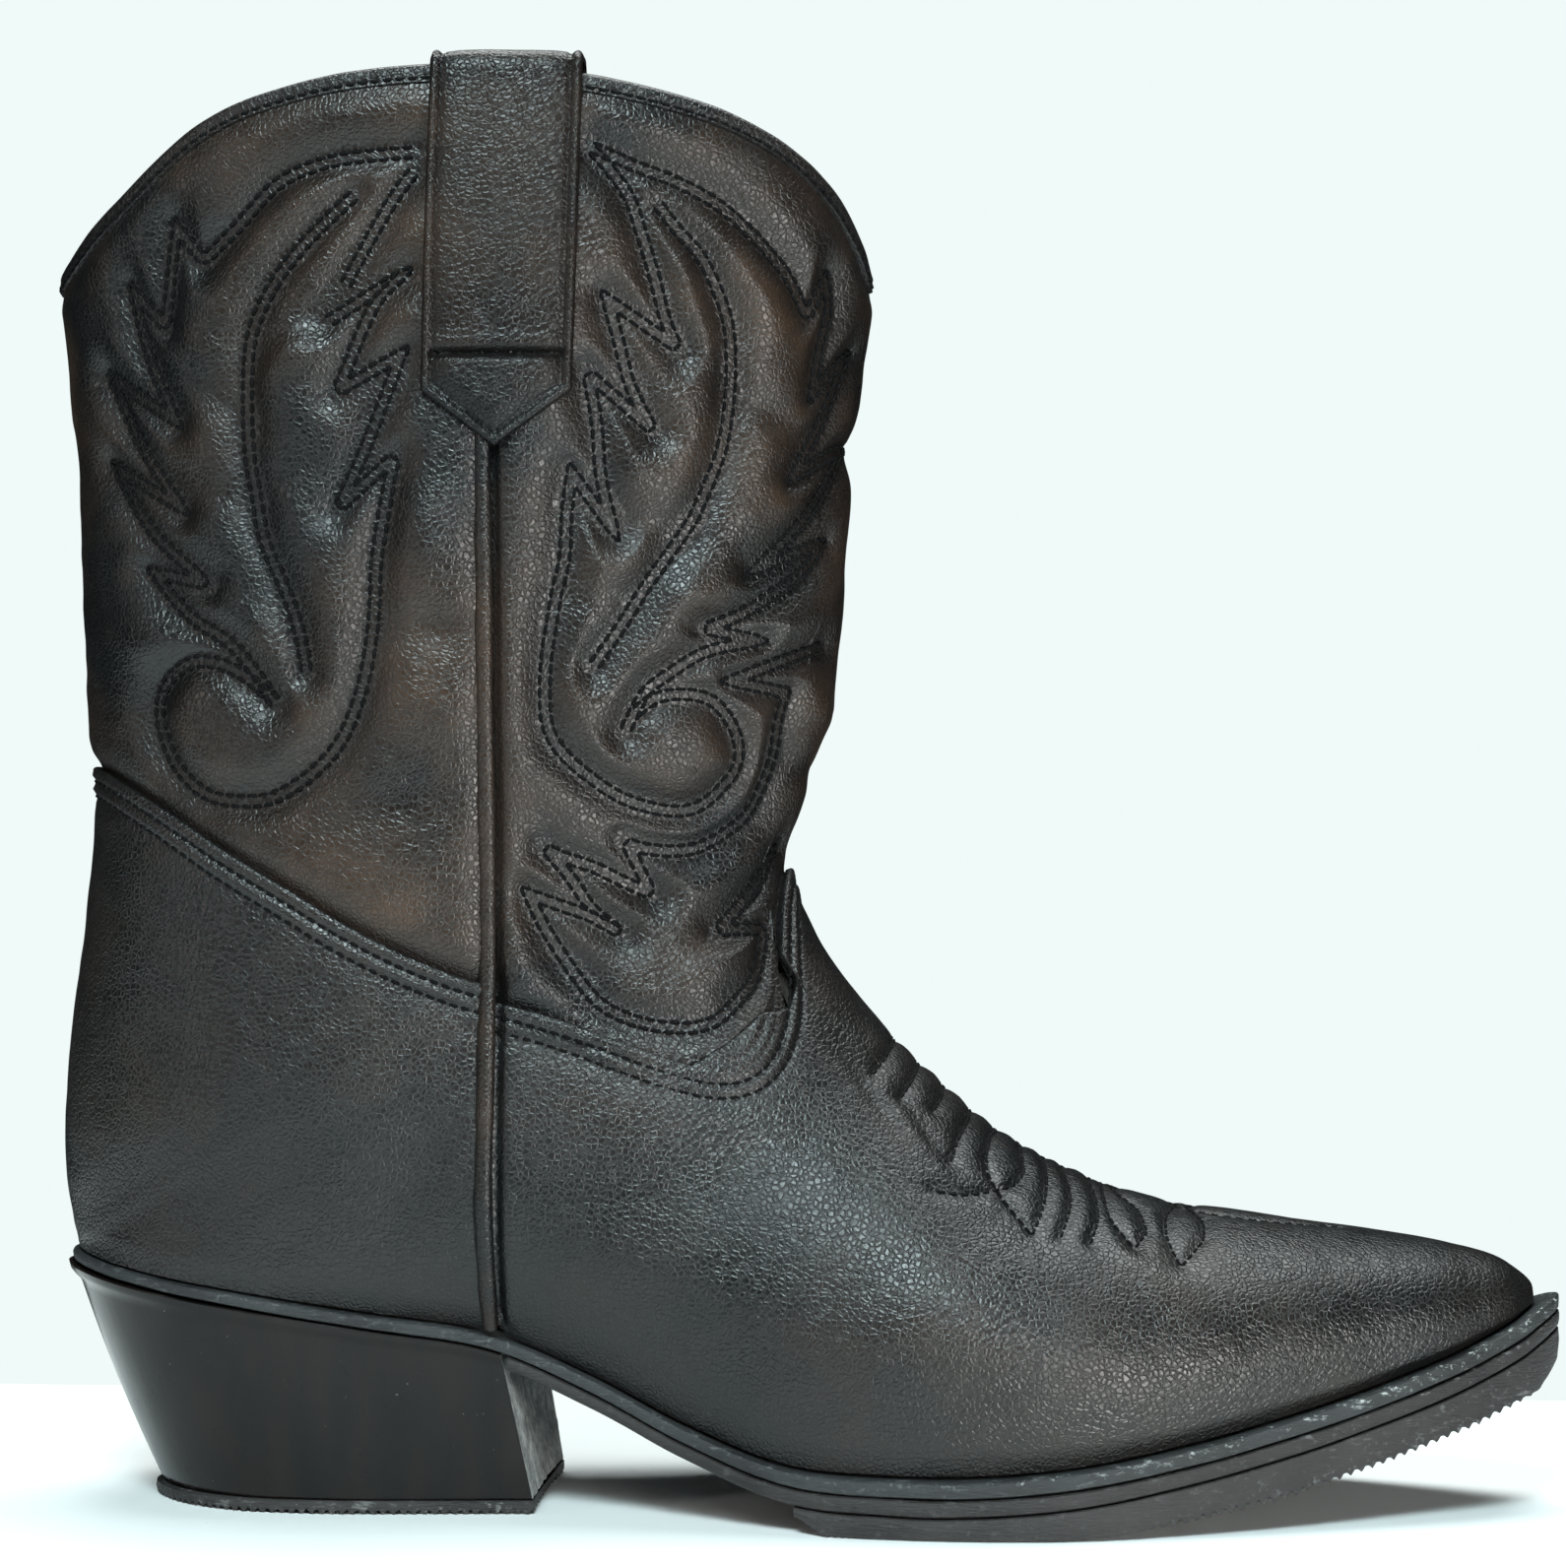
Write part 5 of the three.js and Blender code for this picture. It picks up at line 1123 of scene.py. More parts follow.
def toe_lens_rows():
    """The sewn lens on top of the toe, a row on each side of the ridge."""
    spots = smooth_line(TOE_LENS, 0.5)
    ridge_z = np.interp(spots[:, 0], TABLE["front x"][::-1], TABLE["front z"][::-1])
    found = []
    for side in (OUTER, INNER):
        path, _ = onto_surface(np.stack([spots[:, 0], side * spots[:, 1], ridge_z], 1), side)
        found.append((side, [even(path, 0.45)]))
    return found


def build_vamp():
    x, z, side = vamp_grid(cells_over(235, 0.8), cells_over(200, 0.8))
    point, normal = skin(x, z, side)
    normal[0] = TOE_TIP_NORMAL
    normal[0] = unit(normal[0])
    wrinkles, wrinkle_rows, wrinkle_sewn = gather(VAMP_WRINKLES, single_row)
    lens = toe_lens_rows()
    edge_sewn = edge_rows_by_side(VAMP_EDGE, (2.0, 4.6))
    lens_all = all_rows(lens)
    edge_near = Nearest(np.concatenate(all_rows(edge_sewn)))

    def edges(points, height):
        near = edge_near.distance(points)
        gap = foot_edge_near.distance(points)
        seam = np.abs(points[..., 0] - SEAM_X)
        height = height - 0.5 * bump_at(near, 0, 0.7)
        height = height + 0.45 * bump_at(gap, 0.9, 0.9) + 0.35 * bump_at(gap, 3.3, 0.9)
        height = height - 0.15 * bump_at(gap, 6, 1.5)
        # the upper is pulled down hard along the sole
        _, along = locate(points[..., 0], points[..., 2])
        height = height * smoothstep(along, -0.01, 0.10)
        return height - 1.3 * bump_at(seam, 1.2, 1.2)

    relief = Relief(wrinkles + lens_all, wrinkle_rows + lens_all, FOOT_FOLDS, 0.5, 2.2, 0.42,
                    edges, FOOT_STEP, 0.07)
    height = relief(point)
    leather_sheet("vamp_leather", point, normal, height, FOOT_THICK, FOOT, ["vamp"],
                  EDGE_FOLD, {"raised": raised_share(height)})
    thread_piece("thread_vamp", wrinkle_sewn + lens + edge_sewn, relief, FOOT_THREAD)


def build_counter():
    low = moved_edge(feather_around, -0.2)
    x, z, side = back_grid(low, counter_around, cells_over(208, 0.9), cells_over(84, 0.8))
    point, normal = skin(x, z, side)
    rows_sewn = edge_rows_by_side(COUNTER_EDGE, (2.0, 4.8))
    rows_all = all_rows(rows_sewn)

    def edges(points, height):
        gap = foot_edge_near.distance(points)
        seam = np.abs(points[..., 0] - SEAM_X)
        height = height + 0.5 * bump_at(gap, 0.9, 0.9) + 0.4 * bump_at(gap, 3.4, 1.0)
        height = height - 0.2 * bump_at(gap, 6.2, 1.3)
        rise = points[..., 2] - np.interp(-points[..., 0], -feather[:, 0], feather[:, 1])
        height = height * smoothstep(rise, -0.3, 5.0)
        return height - 0.5 * bump_at(seam, 0.0, 2.0)

    relief = Relief(rows_all, rows_all, COUNTER_FOLDS, 0.0, 3.0, 0.5, edges, FOOT_STEP, 0.07)
    height = relief(point)
    leather_sheet("heel_counter_leather", point, normal, height, FOOT_THICK, FOOT,
                  ["heel_counter_cover"], EDGE_FOLD, {"raised": raised_share(height)})
    thread_piece("thread_counter", rows_sewn, relief, FOOT_THREAD)


build_vamp()
build_counter()

# ------------------------------------------------------------------ binding, seams, straps

# Rolled binding over the topline: across the sheet and up from its edge.
BINDING_PROFILE = [
    (0.35, -3.2), (0.85, -2.9), (0.95, -1.6), (0.85, -0.6), (0.35, 0.15), (-0.6, 0.45), (-2.2, 0.5),
    (-3.6, 0.42), (-4.7, 0.1), (-5.2, -0.7), (-5.25, -1.8), (-5.1, -2.9), (-4.6, -3.1),
]
BINDING_STEP = 0.7
BINDING_STITCH_BELOW, BINDING_STITCH_HEIGHT, BINDING_THREAD = 2.2, 0.72, 0.30


def closed_topline(step):
    outer = even(topline_paths[OUTER], step)
    inner = even(topline_paths[INNER], step)
    loop = np.concatenate([outer, inner[1:-1][::-1]])
    side = np.r_[np.full(len(outer), OUTER), np.full(len(inner) - 2, INNER)]
    _, normal = onto_surface(loop, side)
    tangent = unit(np.roll(loop, -1, axis=0) - np.roll(loop, 1, axis=0))
    up = unit(np.cross(normal, tangent))
    up = up * np.where(up[:, 2:] < 0, -1, 1)
    return loop, normal, up, side


def build_binding():
    loop, normal, up, side = closed_topline(BINDING_STEP)
    wobble = 0.16 * cloud(loop, 14.0) + 0.07 * cloud(loop, 4.0, 2.0)
    puckers = 0.10 * np.cos(2 * math.pi * np.arange(len(loop)) * BINDING_STEP / PITCH)
    rings = []
    for across, rise in BINDING_PROFILE:
        ripple = wobble + (puckers if rise < -1.2 and across > 0 else 0)
        groove = -0.35 if across > 0.9 else 0
        ring = loop + normal * (across + groove + ripple)[:, None]
        rings.append(ring + up * (rise + 0.5 * wobble)[:, None])
    points, faces = tube_through(np.stack(rings, 1), True)
    # the rubbed tone and its painted warm sheen fade from the outer face to the inner one
    height = np.tile(np.linspace(0.8, 0.3, len(BINDING_PROFILE)), len(loop))
    add_mesh("binding_leather", points, faces, BINDING, ["top_binding"], SOFT_ANGLE,
             {"raised": height})
    row = loop - up * BINDING_STITCH_BELOW
    sewn = [(s, [row[side == s]]) for s in (OUTER, INNER)]
    thread_piece("thread_binding", sewn, lambda p: np.full(len(p), BINDING_STITCH_HEIGHT), BINDING_THREAD)


# The seam's folded edge: along the boot, off the surface, and how rubbed it is, which also sets its painted
# warm sheen.
SEAM_PROFILE = [
    (-2.5, -0.25, 0.2), (-2.3, 0.35, 0.4), (-1.8, 0.95, 0.7), (-1.1, 1.4, 0.9), (-0.3, 1.55, 1.0),
    (0.35, 1.35, 0.9), (0.75, 0.8, 0.5), (0.85, 0.1, 0.1), (0.8, -0.5, 0.0),
]
SEAM_TOP_Z, SEAM_BOTTOM_Z, SEAM_RINGS = 199.0, 35.5, 260
SEAM_STAND = 0.65  # over the foot leather


def build_side_seam(side, name, node):
    """The folded edge that stands along the seam, with a dark gap on its toe side."""
    z = np.linspace(SEAM_BOTTOM_Z, SEAM_TOP_Z, SEAM_RINGS)
    sway = 0.35 * cloud(np.stack([np.zeros(len(z)), np.full(len(z), side), z], 1), 22.0)
    point, normal = skin(SEAM_X + sway, z, side)
    across = unit(np.array([1.0, 0.0, 0.0]) - normal * normal[:, :1])
    stand = lerp(SEAM_STAND, 0.0, smoothstep(z, 92, 99))
    size = 1 + 0.10 * cloud(point, 12.0, 1.0) + 0.05 * cloud(point, 3.0, 3.0)
    rings = []
    for along, off, _ in SEAM_PROFILE:
        rings.append(point + across * (along * size)[:, None] + normal * (off * size + stand)[:, None])
    points, faces = tube_through(np.stack(rings, 1), False)
    # rubbed wear and painted warm sheen, highest on the top of the fold
    raised = np.tile([rubbed_and_sheen for _, _, rubbed_and_sheen in SEAM_PROFILE], len(z))
    add_mesh(name, points, faces, UPPER, [node], SOFT_ANGLE, {"raised": raised})


STRAP_TOP_Z, STRAP_SHOULDER_Z, STRAP_TIP_Z, STRAP_INSIDE_END = 266.9, 205.8, 195.6, 214.0
STRAP_HALF, STRAP_THICK, STRAP_CLEAR = 13.6, 1.6, 1.1
STRAP_TOP_X, STRAP_LOW_X = -50.8, -53.0
STRAP_BEND_Z = STRAP_TOP_Z - 4.3  # the strap turns over the topline above this
STRAP_INSIDE = 5.9  # how far inside the surface its inner end runs
STRAP_CUT_Z = 212.4  # the deep line across, over the boxed point
STRAP_SQUARE = 0.5
STRAP_COLUMNS, STRAP_OUTER_ROWS, STRAP_TURN_ROWS, STRAP_INNER_ROWS = 69, 129, 24, 92


def strap_tip(a):
    """Lower end of the strap at a distance from its middle line."""
    return STRAP_TIP_Z + (STRAP_SHOULDER_Z - STRAP_TIP_Z) * np.abs(a) / STRAP_HALF


def strap_relief(a, z, outside):
    """Rim round the outer end, a deep line across, and a boxed point below it."""
    to_edge = STRAP_HALF - np.abs(a)
    inward = np.where(outside, np.minimum(to_edge, (z - strap_tip(a)) * 0.8), to_edge)
    height = 0.35 * bump_at(inward, 0.9, 0.8) - 0.45 * bump_at(inward, 2.1, 0.5)
    height -= 0.5 * bump_at(inward, -0.3, 0.5)
    box = np.where(outside & (z < STRAP_CUT_Z), 1.0, 0.0)
    height += smoothstep(inward, 2.1, 5.5) * lerp(0.25, 0.85, box)
    inside_rim = smoothstep(inward, 1.3, 2.4) * outside
    height -= 1.5 * bump_at(z, STRAP_CUT_Z, 0.75) * inside_rim
    height += 0.3 * bump_at(z, STRAP_CUT_Z + 2.2, 1.4) * inside_rim
    return height, inward


def strap_grid(columns):
    """Points x, height over the surface and z: up the outer side, over the topline and down inside."""
    middle = (STRAP_CLEAR - STRAP_INSIDE) / 2
    reach = (STRAP_CLEAR + STRAP_INSIDE) / 2
    turn = np.linspace(0, math.pi, STRAP_TURN_ROWS + 2)[1:-1]
    c, s = np.cos(turn), np.sin(turn)
    over = middle + np.sign(c) * np.abs(c) ** STRAP_SQUARE * reach
    out = np.r_[np.full(STRAP_OUTER_ROWS, STRAP_CLEAR), over, np.full(STRAP_INNER_ROWS, -STRAP_INSIDE)]
    rise = s ** STRAP_SQUARE * (STRAP_TOP_Z - STRAP_THICK - STRAP_BEND_Z)
    lift = np.r_[np.zeros(STRAP_OUTER_ROWS), rise, np.zeros(STRAP_INNER_ROWS)]
    z_in = np.linspace(STRAP_BEND_Z, STRAP_INSIDE_END, STRAP_INNER_ROWS)
    lines = []
    for column in columns:
        z_out = np.linspace(strap_tip(column), STRAP_BEND_Z, STRAP_OUTER_ROWS)
        z = np.r_[z_out, np.full(len(turn), STRAP_BEND_Z), z_in]
        up = (z - STRAP_SHOULDER_Z) / (STRAP_TOP_Z - STRAP_SHOULDER_Z)
        lines.append(np.stack([lerp(STRAP_LOW_X, STRAP_TOP_X, up) + column, out, z + lift], 1))
    return np.stack(lines, 1)


def build_strap(side, name, node):
    a = np.linspace(-1, 1, STRAP_COLUMNS) * STRAP_HALF
    grid = strap_grid(a)
    rows, columns = grid.shape[:2]
    base, _ = skin(grid[..., 0], np.minimum(grid[..., 2], STRAP_BEND_Z), side)
    point = np.stack([grid[..., 0], base[..., 1] + side * grid[..., 1], grid[..., 2]], -1)
    along = np.gradient(point, axis=0)
    across = np.gradient(point, axis=1)
    normal = unit(np.cross(across, along))
    if normal[20, columns // 2, 1] * side < 0:  # a point on the flat outer part
        normal = -normal
    outside = np.broadcast_to((np.arange(rows) < STRAP_OUTER_ROWS)[:, None], (rows, columns))
    height, inward = strap_relief(np.broadcast_to(a, (rows, columns)), point[..., 2], outside)
    height = height + 0.16 * cloud(point, 10.0) + 0.05 * cloud(point, 3.0)
    # the lower end lies on the padded shaft, and the middle bows out a little
    up = np.clip((point[..., 2] - STRAP_CUT_Z) / (STRAP_BEND_Z - STRAP_CUT_Z), 0, 1)
    bow = np.where(outside, 0.7 * np.sin(up * math.pi), 0)
    edge = 1 - smoothstep(inward, 0.0, 0.5)
    outer_height = STRAP_THICK + (height + bow) - 0.5 * edge
    top = point + normal * outer_height[..., None]
    keep_rows = (rows - 1) // COARSE * COARSE + 1
    inner = (point + normal * bow[..., None])[:keep_rows][THINNED, THINNED]
    points = np.concatenate([top[:keep_rows].reshape(-1, 3), inner.reshape(-1, 3)])
    faces = facing_out(points, sheet_faces(keep_rows, columns, 0))
    # rubbed wear and painted warm sheen on the strap's highest parts
    rubbed_and_sheen = raised_share(outer_height[:keep_rows]).ravel()
    raised = np.r_[rubbed_and_sheen, np.zeros(len(points) - len(rubbed_and_sheen))]
    add_mesh(name, points, faces, STRAP_LEATHER, [node], STRAP_ANGLE, {"raised": raised})


build_binding()
build_side_seam(OUTER, "side_seam_outer", "side_seam_piping_outer")
build_side_seam(INNER, "side_seam_inner", "side_seam_piping_inner")
build_strap(OUTER, "strap_outer", "pull_strap_outer")
build_strap(INNER, "strap_inner", "pull_strap_inner")

# ------------------------------------------------------------------ linings

LINING_OUTER_FACE, LINING_INNER_FACE = -3.9, -4.6
LEG_WRINKLE, FOOT_WRINKLE = 0.35, 0.2
LINING_BELOW_TOP = 4.2
LINING_LAP = 3  # how far the shaft lining runs below the foot leather's edge


def build_lining(name, node, grid, wrinkle):
    """A lining; the seen face is the inner one, so it takes the fine grid."""
    x, z, side = grid
    point, normal = skin(x, z, side)
    height = wrinkle * (cloud(point, 17.0) + 0.5 * cloud(point, 6.0, 3.0))
    top = point + normal * (LINING_OUTER_FACE + 0.25 * height)[..., None]
    low = point + normal * (LINING_INNER_FACE + height)[..., None]
    points = np.concatenate([low.reshape(-1, 3), top[THINNED, THINNED].reshape(-1, 3)])
    faces = facing_out(points, sheet_faces(*x.shape, 0))
    add_mesh(name, points, faces, LINING, [node], SOFT_ANGLE)


def build_linings():
    low, high = moved_edge(vamp_across, -LINING_LAP), moved_edge(top_across, -LINING_BELOW_TOP)
    build_lining("lining_shaft_front", "shaft_lining_front", front_grid(low, high, 121, 97), LEG_WRINKLE)
    low, high = moved_edge(counter_around, -LINING_LAP), moved_edge(top_around, -LINING_BELOW_TOP)
    build_lining("lining_shaft_back", "shaft_lining_back", back_grid(low, high, 141, 97), LEG_WRINKLE)
    build_lining("lining_vamp", "vamp_lining", vamp_grid(101, 97, 16.0, 6.0, 0.985), FOOT_WRINKLE)
    low, high = moved_edge(feather_around, 0.6), moved_edge(counter_around, -5)
    build_lining("lining_heel", "heel_lining", back_grid(low, high, 121, 65, 0.975), FOOT_WRINKLE)


build_linings()

# ------------------------------------------------------------------ sole and heel

# By station: how far the sole stands beyond the feather line, and how thick the welt is.
SOLE_MARGIN = np.array([
    (0, 5.3), (12, 4.2), (40, 3.3), (110, 3.0), (175, 1.8), (230, 1.0), (HEEL_SEAT, 1.2),
])
WELT_THICKNESS = np.array([(0, 3.0), (110, 3.0), (200, 2.5), (250, 2.0), (HEEL_SEAT, 2.0)])
# The tread's underside as x, z.
TREAD_BOTTOM = np.array([
    (1.5, 3.2), (6.5, 0), (46, 0), (52.7, 0.3), (70.1, 2.4), (87.8, 5.9), (105.9, 11), (124.7, 17.4),
    (136.4, 22.5), (142.5, 29.5),
])
SOLE_CLEARANCE, WELT_WIDTH, LAYER_GAP, TOE_RISE = 0.7, 8.0, 0.35, 0.55
WAIST_SOLE, FOREFOOT_SOLE, TREAD_START_X, BREAST_X = 2.5, 3.0, 1.5, -53.8
OUTSOLE_END_X = -52.4
SERRATION_PITCH, SERRATION_DEPTH = 2.0, 1.3
SERRATION_FROM_X, SERRATION_TO_X, SERRATION_FADE = 62, 139, 6
RIB_PITCH, RIB_HEIGHT = 1.3, 0.35
LIFT_THICKNESS, HEEL_BACK_X, HEEL_BREAST_LOW_X, HEEL_MARGIN = 2.5, -122.5, -48.5, 0.9
HEEL_TOP_HALF, HEEL_LOW_HALF = 31, 26.0
HEEL_BULGE, BREAST_HOLLOW = 0.9, 1.2
LIFT_TOOTH_PITCH, LIFT_TOOTH = 1.9, 1.05
SOLE_STEP, TREAD_STEP = 0.9, 0.33


def feather_z(x):
    inside = np.interp(-np.asarray(x, float), -feather[:, 0], feather[:, 1])
    return np.where(x > feather[0, 0], feather[0, 1] + (x - feather[0, 0]) * TOE_RISE, inside)


def station_of(x):
    return float(np.interp(-x, -feather[:, 0], foot_rows))


def sole_outline(t, side, margin):
    """Plan-view points a margin outside the feather line."""
    h = 0.05
    before, after = np.maximum(t - h, 0), np.minimum(t + h, HEEL_SEAT)

    def half(s):
        return side * by_side("base half", s, side)

    tangent = unit(np.stack([at("base x", after) - at("base x", before), half(after) - half(before)], -1))
    out = np.stack([side * tangent[:, 1], -side * tangent[:, 0]], -1)
    out[t <= h] = (1, 0)
    out[t >= HEEL_SEAT - h] = (-1, 0)
    plan = np.stack([at("base x", t), half(t)], -1)
    return plan + out * np.asarray(margin)[..., None]


def margin_at(t):
    return np.interp(t, SOLE_MARGIN[:, 0], SOLE_MARGIN[:, 1])


def welt_top(x):
    return feather_z(x) - SOLE_CLEARANCE


def welt_bottom(x):
    t = np.interp(-x, -feather[:, 0], foot_rows)
    return welt_top(x) - np.interp(t, WELT_THICKNESS[:, 0], WELT_THICKNESS[:, 1])


def outsole_top(x):
    return welt_bottom(x) - LAYER_GAP


def outsole_bottom(x):
    return outsole_top(x) - lerp(WAIST_SOLE, FOREFOOT_SOLE, smoothstep(x, -25, 15))


def serration(x):
    """Saw teeth along the tread's lower edge, fading at both ends."""
    tooth = np.abs(((np.asarray(x, float) / SERRATION_PITCH) % 1) - 0.5) * 2
    grows = smoothstep(x, SERRATION_FROM_X, SERRATION_FROM_X + SERRATION_FADE)
    fades = smoothstep(x, SERRATION_TO_X - SERRATION_FADE, SERRATION_TO_X)
    return SERRATION_DEPTH * tooth * grows * (1 - fades)


def stations_from_toe(step, end):
    """Stations from the toe in even steps; round the whole foot they are closer at both ends."""
    k = np.linspace(0, 1, int(end / step))
    ease = 0.75 * k + 0.25 * (1 - np.cos(k * math.pi)) / 2 if end == HEEL_SEAT else k
    return end * ease


def loop_of(t):
    """Stations and sides round the sole: heelwards on the outer side, back on the inner side."""
    back = t[::-1][:-1]
    back = back[1:] if t[-1] == HEEL_SEAT else back
    return np.r_[t, back], np.r_[np.full(len(t), OUTER), np.full(len(back), INNER)]


def flat_cloud(outline, size):
    """Noise over plan-view points."""
    return cloud(np.stack([outline[:, 0], outline[:, 1], np.zeros(len(outline))], 1), size)


def slab(name, end_x, step, levels, material, node):
    """A solid layer of the sole from the toe to end_x. levels are (margin beyond the sole's own,
    height of x, wear) from its top edge round the wall to its bottom edge."""
    t = stations_from_toe(step, station_of(end_x))
    where, side = loop_of(t)
    rings = []
    for beyond, height, _ in levels:
        outline = sole_outline(where, side, margin_at(where) + beyond)
        level = height(outline[:, 0]) + 0.07 * flat_cloud(outline, 7.0)
        rings.append(np.stack([outline[:, 0], outline[:, 1], level], 1))
    count, n = len(rings), len(where)
    points = np.concatenate(rings)
    index = np.arange(count * n).reshape(count, n)
    faces = band_faces(index)
    # the faces between both sides close the top and the bottom
    for ring, flip in ((index[0], False), (index[-1], True)):
        pairs = [(int(ring[i]), int(ring[-i])) for i in range(len(t))]
        for (a, b), (c, d) in zip(pairs[:-1], pairs[1:], strict=True):
            cap = list(dict.fromkeys([a, c, d, b]))
            if len(cap) > 2:
                faces.append(cap[::-1] if flip else cap)
    faces = facing_out(points, faces)
    worn = [wear for _, _, wear in levels]
    amount = np.repeat(worn, n) * np.tile(smoothstep(rings[0][:, 0], 60, 125) * 0.8 + 0.2, count)
    add_mesh(name, points, faces, material, [node], HARD_ANGLE, {"worn": amount})


# Beyond the sole's edge, share of the way down, height added, and wear.
WELT_PROFILE = [
    (-WELT_WIDTH, 1.0, 0.0, 0), (-WELT_WIDTH, 0.0, 0.0, 0), (-2.2, 0.0, 0.0, 0.2), (-0.85, 0.0, -0.05, 0.9),
    (-0.25, 0.0, -0.35, 1.0), (0.0, 0.0, -0.8, 0.9), (0.05, 0.5, 0.0, 0.35), (-0.05, 1.0, 0.25, 0.1),
    (-0.5, 1.0, 0.0, 0.0),
]


def build_welt():
    where, side = loop_of(stations_from_toe(SOLE_STEP, HEEL_SEAT))
    rings = []
    for beyond, share, extra, _ in WELT_PROFILE:
        outline = sole_outline(where, side, margin_at(where) + beyond)
        top, bottom = welt_top(outline[:, 0]), welt_bottom(outline[:, 0])
        wander = 0.10 * flat_cloud(outline, 8.0) * (beyond > -3)
        rings.append(np.stack([outline[:, 0], outline[:, 1], lerp(top, bottom, share) + extra + wander], 1))
    points, faces = tube_through(np.stack(rings, 1), True)
    toe_wear = smoothstep(-where, -150, -20) * 0.85 + 0.15
    worn = np.array([wear for *_, wear in WELT_PROFILE])
    amount = (toe_wear[:, None] * worn[None, :]).ravel()
    add_mesh("welt_strip", points, faces, WELT_EDGE, ["welt"], HARD_ANGLE, {"worn": amount})


def build_outsole():
    levels = [
        (-0.55, outsole_top, 0.8),
        (-0.05, lambda x: outsole_top(x) - 0.25, 0.8),
        (0.12, lambda x: lerp(outsole_top(x), outsole_bottom(x), 0.35), 0.3),
        (0.10, lambda x: lerp(outsole_top(x), outsole_bottom(x), 0.65), 0.2),
        (-0.10, lambda x: outsole_bottom(x) + 0.3, 0.2),
        (-0.7, outsole_bottom, 0),
    ]
    slab("outsole_layer", OUTSOLE_END_X, SOLE_STEP, levels, SOLE_EDGE, "outsole")


def tread_bottom(x):
    return np.minimum(np.interp(x, TREAD_BOTTOM[:, 0], TREAD_BOTTOM[:, 1]), outsole_bottom(x) - 1.2)


def toothed_bottom(x):
    wave = 0.5 + 0.5 * np.cos(np.asarray(x, float) * 2 * math.pi / RIB_PITCH)
    return tread_bottom(x) + serration(x) + RIB_HEIGHT * wave * bump_at(x, 5.5, 4.0)


def over_teeth(x):
    return np.minimum(tread_bottom(x) + SERRATION_DEPTH + 0.5, outsole_bottom(x) - 0.8)


def build_tread():
    levels = [
        (-0.5, lambda x: outsole_bottom(x) - 0.3, 0.3),
        (-0.1, lambda x: outsole_bottom(x) - 0.5, 0.3),
        (0.05, lambda x: lerp(outsole_bottom(x), tread_bottom(x), 0.5), 0.2),
        (-0.05, over_teeth, 0.4),
        (-0.25, toothed_bottom, 0.6),
        (-1.6, toothed_bottom, 0),
        (-2.2, lambda x: tread_bottom(x) + 0.45 * smoothstep(x, 58, 66), 0),
    ]
    slab("forepart_tread_layer", TREAD_START_X, TREAD_STEP, levels, TREAD, "forepart_tread")


def heel_outline(share, count, grow):
    """The D-shaped outline from the breast's outer corner round the back, and its height above."""
    start = station_of(BREAST_X)
    k = np.linspace(0, 1, count)
    t = start + (HEEL_SEAT - start) * (1 - (1 - k) ** 1.5)
    outer = sole_outline(t, np.full(count, OUTER), np.full(count, HEEL_MARGIN))
    inner = sole_outline(t, np.full(count, INNER), np.full(count, HEEL_MARGIN))
    plan = np.concatenate([outer, inner[::-1][1:]])
    run = (plan[:, 0] - BREAST_X) / (plan[:, 0].min() - BREAST_X)
    low_x = lerp(HEEL_BREAST_LOW_X, HEEL_BACK_X, run)
    low_y = plan[:, 1] * HEEL_LOW_HALF / HEEL_TOP_HALF
    bulge = HEEL_BULGE * math.sin(share * math.pi) * run ** 3
    x = lerp(plan[:, 0], low_x, share) - bulge
    y = lerp(plan[:, 1], low_y, share)
    size = 1 + grow / HEEL_TOP_HALF
    return BREAST_X + (x - BREAST_X) * size, y * size, plan[:, 0]


def heel_rings(levels, count, breast_columns):
    """Rings of a heel piece: the outline, then back across the breast in small steps."""
    rings = []
    for share, grow, height in levels:
        x, y, top_x = heel_outline(share, count, grow)
        z = height(top_x)
        k = np.linspace(1, 0, breast_columns + 2)[1:-1]
        across = np.stack([lerp(x[0], x[-1], k), lerp(y[0], y[-1], k), lerp(z[0], z[-1], k)], 1)
        # the breast is a shallow hollow
        across[:, 0] -= BREAST_HOLLOW * np.sin(k * math.pi) * (1 - 0.5 * share)
        rings.append(np.concatenate([np.stack([x, y, z], 1), across]))
    return np.array(rings)


def capped(rings, half_count):
    """Body through the rings with both ends closed by strips across."""
    count, n = rings.shape[:2]
    index = np.arange(count * n).reshape(count, n)
    faces = band_faces(index)
    outline = 2 * half_count - 1
    for ring, flip in ((index[0], False), (index[-1], True)):
        for i in range(half_count - 1):
            cap = [ring[i], ring[i + 1], ring[outline - 2 - i], ring[outline - 1 - i]]
            cap = [int(v) for v in dict.fromkeys(cap)]
            faces.append(cap[::-1] if flip else cap)
        breast = [int(ring[0]), *[int(v) for v in ring[outline - 1:]]]
        faces.append(breast if flip else breast[::-1])
    points = rings.reshape(-1, 3)
    return points, facing_out(points, faces)


def mark_breast(made):
    """Faces that look towards the toe take the breast's finish, the second material, whose pale tone is
    partly painted light.
    """
    for face in made.data.polygons:
        c = face.center
        if face.normal.x > 0.75 and abs(face.normal.z) < 0.6 and c.x > (BREAST_X - 3) * MM:
            face.material_index = 1


